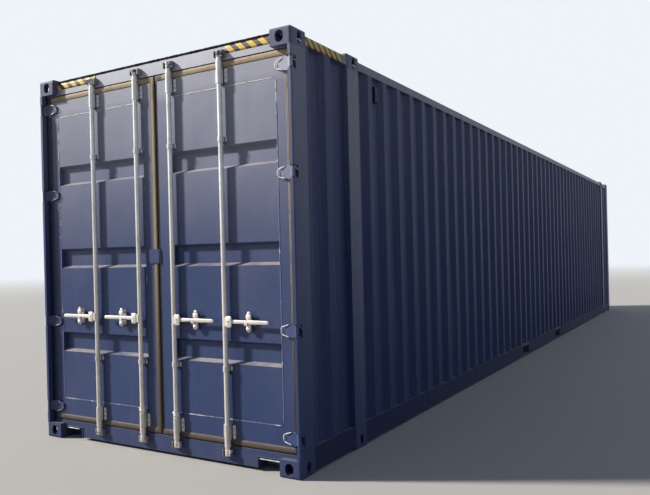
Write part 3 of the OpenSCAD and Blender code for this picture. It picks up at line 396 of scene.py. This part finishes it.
def galvanised(name, shade=0.7, spangle=26, rust=0.2, cams=False, overspray_and_gap_shade=False):
    """Zinc in flat spangles, each a little lighter or darker, warmer towards the ground and cooler
    and paler towards the top as a painted reflection of ground and sky, under dust and thin rust,
    dark with grease at the two ends of a rod, and navy at the back, both as spray from painting the
    door and as painted shade in the gap beside the bracket plates. The spangle is about how many
    there are to the metre."""
    made, place = new_finish(name)
    y, z = axes(place)[1:]
    flake = Tone.node("TexVoronoi", {}, {"Vector": place, "Scale": spangle}, out=1)
    flake = Tone.node("RGBToBW", {}, {0: flake})
    smear = noise(stretched(place, 1, 1, 0.25), 18, 6, 0.6)

    zinc_with_sky_sheen = dimmed((1.08, 1.12, 1.12), shade)
    zinc_with_ground_sheen = dimmed((1.00, 0.93, 0.82), shade)
    dark = dimmed((0.66, 0.67, 0.66), shade)
    # Cooler and paler up high, warmer low down: a painted reflection of sky and ground.
    base = over(ramp(z, 1.1, 2.2), zinc_with_ground_sheen, zinc_with_sky_sheen)
    base = over(flake * 0.35 + ramp(smear, 0.4, 0.8) * 0.35, base, dark)
    base = over(ramp(noise(place, 5, 6), 0.45, 0.75) * 0.4, base, (0.46, 0.41, 0.34, 1))
    worn = ramp(noise(place, 42, 4), 0.62, 0.72) * ramp(noise(place, 4, 4), 0.5, 0.62) * rust
    base = over(worn, base, RUST)
    if cams:
        clots = ramp(noise(place, 34, 4, 0.6), 0.50, 0.56)
        upper_cam, lower_cam = ramp(z, 2.785, 2.80), ramp(z, 0.125, 0.10)
        base = over(upper_cam * (1 - clots * 0.8) + lower_cam * clots * 0.8, base, GREASE)
    # Navy at the back: spray from painting the door, and painted shade in the gap between the sleeve
    # and the plates.
    if overspray_and_gap_shade:
        base = over(ramp(y, door_end + 0.036, door_end + 0.043), base, NAVY)

    height = noise(place, 120, 4) * 0.4 + smear * 0.2
    finished(base, 0.38 + smear * 0.2 + worn * 0.3, height, 0.0005, Metallic=0.25)
    return made


zinc_pressing = galvanised("zinc_pressings", shade=0.60, spangle=40, rust=0.4)
zinc_forging = galvanised("zinc_forgings", shade=0.86, spangle=50, rust=0.1)
dress("lock_rod_1 lock_rod_2 lock_rod_3 lock_rod_4",
      galvanised("zinc_rods", shade=0.80, cams=True))
dress("rod_brackets_left rod_brackets_right",
      galvanised("zinc_brackets", shade=0.72, spangle=40, overspray_and_gap_shade=True))
dress("handle_1 handle_2 handle_3 handle_4 handle_catches_left handle_catches_right",
      zinc_forging)
dress("cam_keepers", galvanised("zinc_keepers", shade=0.26, spangle=30, rust=0.6))


# ---- Bolted plates on the rod brackets ----
# Each ear of a bracket carries a rounded clamping plate of galvanised strip, held by three dome
# bolts that go through the door. The shorter guides have one bolt in each ear.

def oval(half_x, half_z, power, columns):
    """The closed line where x over its half width and z over its half height, each raised to the
    power, add up to 1."""
    t = np.linspace(0, 2 * np.pi, columns, endpoint=False)
    bend = 2 / power
    return np.stack([half_x * np.sign(np.cos(t)) * np.abs(np.cos(t)) ** bend,
                     half_z * np.sign(np.sin(t)) * np.abs(np.sin(t)) ** bend], -1)


def stacked(outline, steps, x, z, depth):
    """One outline repeated: each step shrinks it towards its centre by a share and brings it forward
    from the depth by a distance. The first and last step have the share 0, which closes the
    shell."""
    share, out = np.array(steps).T[:, :, None]
    shell = np.broadcast_arrays(x + share * outline[:, 0], door_end + depth - out,
                                z + share * outline[:, 1])
    return np.stack(shell, -1), False, True


def dome(x, z, depth, radius, height, columns=10):
    """A bolt head: a circle that shrinks as it rises, steeply at its rim and gently at its crown."""
    profile = ((0, -0.001), (1, -0.001), (1, 0.25 * height), (0.8, 0.7 * height),
               (0.4, 0.95 * height), (0, height))
    return stacked(oval(radius, radius, 2, columns), profile, x, z, depth)


def plate(x, z, depth, half_x, half_z, thick, power=5, columns=28):
    """A flat plate with rounded corners and a softened front edge."""
    soft = 0.25 * thick
    profile = ((0, -0.001), (1, -0.001), (1, thick - soft), (1 - soft / half_x, thick), (0, thick))
    return stacked(oval(half_x, half_z, power, columns), profile, x, z, depth)


# Each rod's door, its place on that door, the way its handle points along X, and the X of its axis.
# The pin lies 34 mm out from the axis, and 15 mm in from the end of the handle's eye.
pin_out, pin_in = 0.034, 0.015
rods = {}
for number, (side, where) in enumerate((("left", "outer"), ("left", "inner"), ("right", "inner"),
                                        ("right", "outer")), 1):
    low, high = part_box("handle_%d" % number)
    turn = 1 if side == "right" else -1
    eye_end = low.x if turn > 0 else high.x
    rods[number] = (side, where, turn, eye_end - turn * (pin_out - pin_in))


def rods_on(side):
    """The way that the handle points and the X of the axis, for each rod of one door."""
    return [rod[2:] for rod in rods.values() if rod[0] == side]


ear_depth, plate_thick = 0.051, 0.003
ear_out, ear_levels, bolt_steps = 0.0375, (0.236, 2.667), (-0.034, 0.0, 0.034)
guide_out, guide_levels = 0.0282, (0.669, 2.233)
for side in ("left", "right"):
    plates, bolts = [], []
    for turn, x in rods_on(side):
        for out in (-1, 1):
            for level in ear_levels:
                plates.append(plate(x + out * ear_out, level, ear_depth, half_x=0.015,
                                    half_z=0.049, thick=plate_thick))
                bolts += [dome(x + out * ear_out, level + step, ear_depth - plate_thick,
                               radius=0.008, height=0.0055) for step in bolt_steps]
            for level in guide_levels:
                plates.append(plate(x + out * guide_out, level, ear_depth, half_x=0.009,
                                    half_z=0.0165, thick=plate_thick))
                bolts.append(dome(x + out * guide_out, level, ear_depth - plate_thick,
                                  radius=0.0062, height=0.0045))
    surface("bracket_plates_" + side, plates, zinc_pressing, "door_" + side, smooth=False)
    surface("bracket_bolts_" + side, bolts, zinc_forging, "door_" + side)


# ---- Handles ----
# Drop-forged bars, galvanised: a round eye on the pivot pin, a waist that drops behind the lip of the
# catch, and a deeper flat grip. A forged boss with a pin head carries each on its rod.

def forged_bar(turn, x, z, depth):
    """Sections across the bar from the eye to the end of the grip. Each is an oval of the power 3.2,
    and half height, half thickness and rise of its middle run straight from station to station."""
    stations = np.array([  # out from the rod, half height, half thickness, rise of the middle
        (0.046, 0.0100, 0.0052, 0), (0.050, 0.0140, 0.0060, 0), (0.070, 0.0142, 0.0070, 0),
        (0.100, 0.0135, 0.0072, 0), (0.150, 0.0118, 0.0066, 0.0004),
        (0.172, 0.0112, 0.0060, 0.0010), (0.198, 0.0112, 0.0060, 0.0012),
        (0.212, 0.0128, 0.0062, 0), (0.224, 0.0138, 0.0068, 0), (0.290, 0.0138, 0.0066, 0),
        (0.345, 0.0134, 0.0062, 0), (0.358, 0.0120, 0.0054, 0), (0.3645, 0.0090, 0.0038, 0),
        (0.367, 0.0, 0.0, 0)])
    out = np.unique(np.concatenate([stations[:, 0], np.linspace(0.05, 0.34, 40)]))
    sizes = [np.interp(out, stations[:, 0], stations[:, k]) for k in (1, 2, 3)]
    # A first section of no size closes the bar in the eye, as the last one does at the grip.
    tall, thick, rise = (np.append(0, size)[:, None] for size in sizes)
    out = np.append(out[0], out)[:, None]
    line = oval(1, 1, 3.2, 20)
    shell = np.broadcast_arrays(x + turn * out, door_end + depth + thick * line[:, 0],
                                z + rise + tall * line[:, 1])
    return np.stack(shell, -1), False, True


def eye_ring(turn, x, z, depth):
    """A ring round the pivot pin, whose section is a soft-cornered square carried round the pin."""
    angle = np.linspace(0, 2 * np.pi, 28, endpoint=False)[:, None]
    line = oval(0.0040, 0.0058, 5, 12)
    radius = 0.0108 + line[:, 0]
    shell = np.broadcast_arrays(x + turn * (pin_out + radius * np.cos(angle)),
                                door_end + depth + line[:, 1], z + radius * np.sin(angle))
    return np.stack(shell, -1), True, True


def greased(name):
    """Dark, bare steel under old grease."""
    made, place = new_finish(name)
    film = noise(place, 70, 4)
    base = over(ramp(film, 0.45, 0.7), (0.035, 0.030, 0.027, 1), (0.10, 0.085, 0.07, 1))
    finished(base, 0.45 + film * 0.2, film * 0.3, 0.0004, Metallic=0.4)
    return made


# This dark steel also stands for the shade in the handles' pin holes.
dark_steel_and_hole_shade = greased("greased_steel_and_hole_shade")
handle_level, handle_depth, boss_out = 0.993, 0.015, 0.046
for number, (side, where, turn, x) in rods.items():
    handle, rod = ("%s_%s_%s" % (kind, side, where) for kind in ("handle", "rod"))
    shells = [forged_bar(turn, x, handle_level, handle_depth),
              eye_ring(turn, x, handle_level, handle_depth)]
    piece = surface("forged_handle_%d" % number, shells, zinc_forging, handle)
    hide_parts("handle_%d" % number)
    # The boss stands above and below the pressed cheeks, and its pin is riveted over in front, in
    # dark greased steel that is also painted shade for the pin hole seen there.
    boss = plate(x + turn * boss_out, handle_level, 0.0045, half_x=0.0245, half_z=0.0385,
                 thick=0.0036, power=6)
    surface("handle_boss_%d" % number, [boss], zinc_forging, rod)
    pin = dome(x + turn * boss_out, handle_level, 0.0012, radius=0.0056, height=0.001)
    surface("handle_pin_%d" % number, [pin], dark_steel_and_hole_shade, rod)


# ---- Wire ties ----
# Twisted soft wire, dulled by weather, wound by hand in three loose turns round each inner rod, just
# above its lowest bracket.

def coil(x, z, wide, tilt, phase):
    """A closed turn of wire: a small circle carried round the rod on a tilted ring, which stands off
    the rod at its sides only."""
    angle = np.linspace(0, 2 * np.pi, 28, endpoint=False)[:, None]
    line = oval(0.0040, 0.0045, 2, 8)
    rise = tilt * wide * np.cos(angle + phase) + 0.0015 * np.sin(3 * angle)
    return np.stack([x + (wide + line[:, 0]) * np.cos(angle),
                     door_end + 0.024 + (0.0182 + line[:, 0]) * np.sin(angle),
                     z + rise + line[:, 1]], -1), True, True


for number in (2, 3):
    side, where, turn, x = rods[number]
    loops = [coil(x - 0.001, 0.303, wide=0.0215, tilt=0.35, phase=0.4),
             coil(x - 0.001, 0.322, wide=0.0230, tilt=-0.25, phase=1.3),
             coil(x - 0.002, 0.313, wide=0.0232, tilt=0.75, phase=2.0)]
    surface("wire_tie_%d" % number, loops, zinc_forging, "rod_%s_%s" % (side, where))


# ---- Handle catches ----
# A forged strap behind each handle carries the ledge and lip that hold it, and ends in two knobs.
# Each knob is riveted through the door.

strap_out, strap_depth = 0.198, 0.030
upper_knob, lower_knob = handle_level + 0.054, handle_level - 0.049
for side in ("left", "right"):
    straps, pins = [], []
    for turn, x in rods_on(side):
        at = x + turn * strap_out
        straps += [plate(at, handle_level, strap_depth, half_x=0.0155, half_z=0.070,
                         thick=0.005, power=3),
                   plate(at, handle_level + 0.032, strap_depth, half_x=0.0225, half_z=0.021,
                         thick=0.0083, power=2.5),
                   plate(at, handle_level - 0.032, strap_depth, half_x=0.0195, half_z=0.016,
                         thick=0.011, power=2.5),
                   dome(at, upper_knob, strap_depth, radius=0.0165, height=0.0083, columns=16),
                   dome(at, lower_knob, strap_depth, radius=0.0190, height=0.0170, columns=16)]
        pins += [dome(at, upper_knob, 0.0225, radius=0.0056, height=0.0008),
                 dome(at, lower_knob, 0.0140, radius=0.0056, height=0.0012)]
    surface("catch_straps_" + side, straps, zinc_forging, "door_" + side)
    surface("catch_pins_" + side, pins, dark_steel_and_hole_shade, "door_" + side)


# ---- Door seals ----
# Rubber gaskets under years of tan dust, riveted round the edge of each door leaf: one fat round
# roll that meets the frame, and a thin lip that lies on the face of the leaf.

def rubber_dust_and_shade(name):
    """Tan dust over dark rubber, patchy, and dusty where it faces up. It pales with height as a
    painted sheen and darkens where it faces down as painted shade. It is near black, as painted
    shade, where the roll turns back past the leaf and at the far sides of both doors, and darker
    between the doors, most on the flanks of the seal there, as painted shade too."""
    made, place = new_finish(name)
    x, y, z = axes(place)
    up = facing()[2]
    patch = noise(place, 7, 6, 0.65)
    fine = noise(place, 60, 5)
    streak = noise(place, 25, 5, 0.6, 0.8)

    # Paler with height: a painted sheen.
    base = over(ramp(z, 0.3, 1.9), (0.060, 0.040, 0.030, 1), (0.44, 0.345, 0.215, 1))
    base = over(ramp(patch, 0.50, 0.28) * 0.5, base, (0.10, 0.075, 0.05, 1))
    base = over(ramp(streak, 0.58, 0.78) * 0.35, base, (0.10, 0.08, 0.06, 1))
    base = over(ramp(fine, 0.5, 0.75) * 0.2, base, (0.08, 0.065, 0.05, 1))
    settled = ramp(up, -0.1, 0.6) * ramp(fine + patch, 0.7, 1.1)
    settled = settled * (ramp(z, 0.3, 1.9) * 0.35 + 0.20)
    base = over(settled, base, (0.44, 0.33, 0.25, 1))
    # Darker where it faces down: painted shade.
    base = over(ramp(up, -0.1, -0.6) * 0.6, base, (0.05, 0.04, 0.035, 1))

    # Near black past the leaf and at the far sides of the doors, and darker between the doors:
    # painted shade.
    leaf_back_shade = ramp(y, door_end + 0.053, door_end + 0.060)
    far_side_shade = Tone.math("MAXIMUM", ramp(x, -1.136, -1.141), ramp(x, 1.1565, 1.1590))
    base = over(Tone.math("MAXIMUM", leaf_back_shade, far_side_shade), base, (0.028, 0.022, 0.018, 1))
    middle = ramp(Tone.math("ABSOLUTE", x), 0.085, 0.065)
    seal_flank_shade = ramp(Tone.math("ABSOLUTE", x + 0.019), 0.009, 0.016)
    base = over(middle * (seal_flank_shade * 0.55 + 0.30), base, (0.055, 0.045, 0.035, 1))
    finished(base, 0.62 + fine * 0.1, fine * 0.4 + patch * 0.5, 0.0009, Specular_IOR_Level=0.45)
    return made


def rounded(points, steps):
    """A closed smooth line through the points: each stretch is the cubic whose ends lean on the
    points before and after it."""
    p0, p1, p2, p3 = (np.roll(points, k, 0)[:, None] for k in (1, 0, -1, -2))
    t = np.linspace(0, 1, steps, endpoint=False)[None, :, None]
    line = 0.5 * (2 * p1 + (p2 - p0) * t + (2 * p0 - 5 * p1 + 4 * p2 - p3) * t ** 2
                  + (3 * p1 - p0 - 3 * p2 + p3) * t ** 3)
    return line.reshape(-1, points.shape[1])


# The gasket's section: outward from the leaf's edge as a share of its width, below 0 over the leaf,
# and the depth behind the end of the box. Lip, roll, groove, inner lip and a flat back.
seal_section = rounded(np.array([(-1.0, .0546), (-0.5, .0524), (0.04, .0500), (0.24, .0484),
                                 (0.42, .0474), (0.60, .0472), (0.76, .0480), (0.89, .0502),
                                 (0.96, .0545), (1.0, .062), (0.90, .078), (1.0, .094),
                                 (0.70, .1045), (0.10, .1045), (0.02, .080), (0.02, .0575)]), 3)
lip_over, leaf_depth, points_a_side = 0.005, 0.060, 64
seal_finish = rubber_dust_and_shade("rubber_dust_and_shade")
# The crowns say how high the roll stands along the bottom, far side, top and near side of a leaf, 1
# being its full height. The sides of the leaf below come in that order, and so do the corners where
# each begins.
for side, turn, crowns in (("left", -1, (1.0, 0.62, 1.0, 1.0)), ("right", 1, (1.0, 0.62, 1.0, 0.0))):
    leaf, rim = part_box("door_frame_" + side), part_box("door_seal_" + side)
    near, far = sorted((turn * leaf[0].x, turn * leaf[1].x))
    rim_near, rim_far = sorted((turn * rim[0].x, turn * rim[1].x))
    low, high = leaf[0].z, leaf[1].z
    out_near, out_far = near - rim_near, rim_far - far
    out_low, out_high = low - rim[0].z, rim[1].z - high
    corners = np.array([(near, low), (far, low), (far, high), (near, high)])
    corners_out = ((-out_near, -out_low), (out_far, -out_low), (out_far, out_high),
                   (-out_near, out_high))
    sides_out = ((0, -out_low), (out_far, 0), (0, out_high), (-out_near, 0))
    t = np.linspace(0, 1, points_a_side, endpoint=False)[None, :, None]
    base = (corners[:, None] * (1 - t) + np.roll(corners, -1, 0)[:, None] * t).reshape(-1, 2)
    out = np.repeat(np.array(sides_out), points_a_side, 0)
    out[::points_a_side] = corners_out
    crown = np.repeat(crowns, points_a_side)
    crown[::points_a_side] = 0.5 * (np.array(crowns) + np.roll(crowns, 1))

    share, depth = seal_section[:, 0], seal_section[:, 1]
    on_leaf = np.minimum(share, 0)[:, None] * (np.sign(out) * lip_over)[:, None]
    place = base[:, None] + np.maximum(share, 0)[:, None] * out[:, None] + on_leaf
    ring = np.arange(len(base))[:, None]
    wave = (np.sin(ring * 1.7) + np.sin(ring * 0.61 + 2) + np.sin(ring * 2.9 + turn)) / 3
    roll = np.maximum(leaf_depth - depth, 0)
    back = depth + roll * (1 - crown[:, None]) * (share > 0) - roll * 0.05 * (wave - 1)
    grid = np.stack([turn * place[..., 0], door_end + back, place[..., 1]], -1)
    piece = surface("rolled_seal_" + side, [(grid, True, True)], seal_finish, "door_" + side)
    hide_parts("door_seal_" + side)


# ---- Sealant along the header ----
# A near-black flat bead along the top edge of the header, where the roof's end plate laps on to it:
# its darkness is painted shade along that edge.

def dark_shade_finish(name):
    """Near black as painted shade, a little lighter in patches."""
    made, place = new_finish(name)
    patch = noise(place, 11, 5)
    base = over(ramp(patch, 0.5, 0.8) * 0.5, (0.010, 0.011, 0.018, 1), (0.035, 0.035, 0.04, 1))
    finished(base, 0.9, patch * 0.5, 0.0006, Specular_IOR_Level=0.08)
    return made


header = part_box("door_header")
bead_half, bead_end = 0.0095, 1.055
bead_level = header[1].z - bead_half * 0.9
shade_strip = bead((-bead_end, bead_level), (bead_end, bead_level), header[0].y - door_end,
               wide=2 * bead_half, proud=0.003, seed=1.0, swing=0.06)
surface("header_shade_strip", [shade_strip], dark_shade_finish("painted_edge_shade"), "box")


# ---- Lap plate rivets ----
# The lap plate, which makes the right door close last and open first, is held to that door by
# steel rivets, painted over.

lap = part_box("door_lap_plate")
rivet_levels = np.linspace(lap[0].z + 0.014, lap[1].z - 0.014, 4)
rivets = [dome(lap[1].x - 0.0052, z, 0.050, radius=0.0036, height=0.003) for z in rivet_levels]
surface("lap_plate_rivets", rivets, edge_finish, "door_right")


# ---- Warning stripes ----
# Two-colour plastic film, stuck on the header beside the fittings and on the rails behind them.
# It marks the extra height of such a box; dust collects on it.

def striped(name, axis, start, pitch):
    """Slanted bands: the place along the strip plus the height, counted in pitches."""
    made, place = new_finish(name)
    spots = axes(place)
    count = Tone.math("FRACT", (spots[axis] + spots[2] - start) / pitch + 200)
    yellow = ramp(count, 0.02, 0.05) * ramp(count, 0.55, 0.52)
    worn = noise(place, 30, 6, 0.7)
    base = over(yellow, (0.025, 0.027, 0.038, 1), (0.86, 0.53, 0.025, 1))
    base = over(ramp(worn, 0.5, 0.75) * 0.3, base, (0.24, 0.21, 0.17, 1))
    finished(base, 0.42 + worn * 0.2, worn * 0.2, 0.0004)
    return made


def rippled(along, height, waves):
    """How far the film stands off its face: a wave along it times a wave up it."""
    return 0.0005 * (0.6 + 0.3 * np.sin(along * waves) * np.sin(height * 300))


header_film = striped("header_stripes", 0, 0.02, 0.092)
rail_film = striped("rail_stripes", 1, 0.0, 0.079)
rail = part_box("top_side_rails")
film_wall = 0.0003
for side, turn, from_x, to_x in (("left", -1, -1.0565, -0.603), ("right", 1, 0.664, 1.0565)):
    x, z = np.meshgrid(np.linspace(from_x, to_x, 24),
                       np.linspace(header[1].z - 0.069, header[1].z - 0.0165, 4))
    grid = np.stack([x, header[0].y - rippled(x, z, 90), z], -1)[::-1]
    surface("header_stripes_" + side, [(grid, False, False)], header_film, "box",
            wall=film_wall)
    y, z = np.meshgrid(np.linspace(door_end + 0.179, door_end + 0.700, 30),
                       np.linspace(rail[0].z + 0.0015, rail[1].z - 0.0015, 4))
    grid = np.stack([turn * (rail[1].x + rippled(y, z, 80)), y, z], -1)[::-turn]
    surface("rail_stripes_" + side, [(grid, False, False)], rail_film, "box",
            wall=film_wall)


# ---- Floor ----
# Marine plywood sheets, screwed to the cross members and varnished, and scratched since by forks
# and loads.

def plywood(name):
    """Veneer grain along the box, sheet joints across it, screw heads in rows and dark scrapes."""
    made, place = new_finish(name)
    x, y, z = axes(place)
    sheet, screw_row, screw_line = 1.22, 0.15, 0.12
    grain = noise(stretched(place, 30, 1.6, 30), 1, 8, 0.7, 0.6)
    patch = noise(place, 1.3, 5)
    seam = ramp(Tone.math("ABSOLUTE", Tone.math("PINGPONG", y, sheet) - 0.004), 0.005, 0.002)
    base = over(ramp(grain, 0.3, 0.72), (0.20, 0.115, 0.055, 1), (0.37, 0.235, 0.125, 1))
    base = over(ramp(patch, 0.45, 0.75) * 0.5, base, (0.15, 0.11, 0.075, 1))
    scrape = ramp(noise(stretched(place, 16, 0.5, 16), 1, 3), 0.66, 0.7)
    base = over(scrape * 0.5, base, (0.09, 0.07, 0.055, 1))
    off_row = Tone.math("PINGPONG", y + screw_row, screw_row)
    off_line = Tone.math("PINGPONG", x + 0.06, screw_line)
    screw = ramp(Tone.math("SQRT", off_row * off_row + off_line * off_line), 0.007, 0.0055)
    base = over(Tone.math("MAXIMUM", seam, screw), base, (0.03, 0.025, 0.02, 1))
    finished(base, 0.5 + patch * 0.2, grain * 0.6 - seam * 2 - scrape * 0.5 - screw, 0.0008)
    return made


dress("floor_boards", plywood("plywood"))


# ---- Ventilators ----
# Small moulded covers over holes high in the long walls, screwed on and painted over with the box.
# Their grain is that of the mould.

dress("ventilators", painted("vent_cover", shade=0.45, settled=0.3, rust=0.0, cast=0.3,
                             gloss=0.15))


# ---- Camera ----
# It stands at eye level to the right of the doors, some 3.7 m in front of them, and is turned left
# to take in the doors and the long side.

def camera_frame(yaw, pitch, roll):
    """The directions to the right, up and back of a camera turned left, tipped up and rolled."""
    ahead = Vector((-math.sin(yaw) * math.cos(pitch), math.cos(yaw) * math.cos(pitch),
                    math.sin(pitch)))
    right = ahead.cross(Vector((0, 0, 1))).normalized()
    up = right.cross(ahead)
    level = Matrix((right, up, -ahead)).transposed()
    return level @ Matrix.Rotation(roll, 3, "Z")


scene = bpy.context.scene
scene.view_settings.view_transform = "Standard"
camera = bpy.data.objects.new("camera", bpy.data.cameras.new("camera"))
scene.collection.objects.link(camera)
scene.camera = camera
stand = Matrix.Translation((3.5232, -10.5529, 1.4292))
camera.matrix_world = stand @ camera_frame(yaw=0.5572, pitch=-0.0022, roll=-0.0242).to_4x4()
# The focal length and the middle of the view are in picture points, of which there are 650 by 495.
focal, centre_x, centre_y = 688.6, 296.19, 257.11
picture_wide, picture_high = 650, 495
camera.data.sensor_width = 36
camera.data.lens = focal / picture_wide * camera.data.sensor_width
camera.data.shift_x = (picture_wide / 2 - centre_x) / picture_wide
camera.data.shift_y = (centre_y - picture_high / 2) / picture_wide
camera.data.clip_end = 500


# ---- Studio ----
# A plain pale floor that runs out into a pale surround, one low warm lamp in front of the doors to
# their left, and an even cool fill from all round.

SKY = (0.86, 0.90, 0.95, 1)
FILL = (0.68, 0.86, 1.20, 1)
FLOOR_SEEN = (0.46, 0.445, 0.42, 1)
FLOOR_LIT = (0.22, 0.20, 0.17, 1)


def background_rays():
    """1 for a ray that the camera, a mirror or a glass looks along and 0 for one that carries light
    from surface to surface, then 1 for the camera's rays alone."""
    rays = Tone.node("LightPath").socket.node.outputs
    from_camera, mirror, glass = Tone(rays[0]), Tone(rays[3]), Tone(rays[6])
    return Tone.math("MINIMUM", from_camera + mirror + glass, 1.0), from_camera


half = 400
mesh = bpy.data.meshes.new("studio_floor")
mesh.from_pydata([(-half, -half, 0), (half, -half, 0), (half, half, 0), (-half, half, 0)], [],
                 [(0, 1, 2, 3)])
floor = bpy.data.objects.new("studio_floor", mesh)
scene.collection.objects.link(floor)
made, place = new_finish("studio_floor")
away = Tone.node("VectorMath", {"operation": "LENGTH"}, {0: stretched(place, 1, 1, 0)}, out=1)
seen, from_camera = background_rays()
board = Tone.node("BsdfPrincipled", {}, {"Base Color": over(seen, FLOOR_LIT, FLOOR_SEEN),
                                         "Roughness": 0.9})
glow = Tone.node("Emission", {}, {"Color": SKY, "Strength": 1.0})
faded = Tone.node("MixShader", {}, {0: ramp(away, 14, 60) * from_camera, 1: board, 2: glow})
Tone.node("OutputMaterial", {}, {"Surface": faded})
mesh.materials.append(made)

lamp = bpy.data.lights.new("low_lamp", "SUN")
lamp.energy = 5.3
lamp.angle = math.radians(5)
lamp.color = (1.0, 0.955, 0.88)
key = bpy.data.objects.new("low_lamp", lamp)
scene.collection.objects.link(key)
key.rotation_euler = Vector((2.0, 1.0, -1.4)).to_track_quat("-Z", "Y").to_euler()

world = bpy.data.worlds.new("surround")
scene.world = world
world.use_nodes = True
world.node_tree.nodes.clear()
Tone.tree = world.node_tree
seen, from_camera = background_rays()
fill = 0.22
sky = Tone.node("Background", {}, {"Color": over(seen, FILL, SKY),
                                   "Strength": fill + seen * (1 - fill)})
Tone.node("OutputWorld", {}, {"Surface": sky})
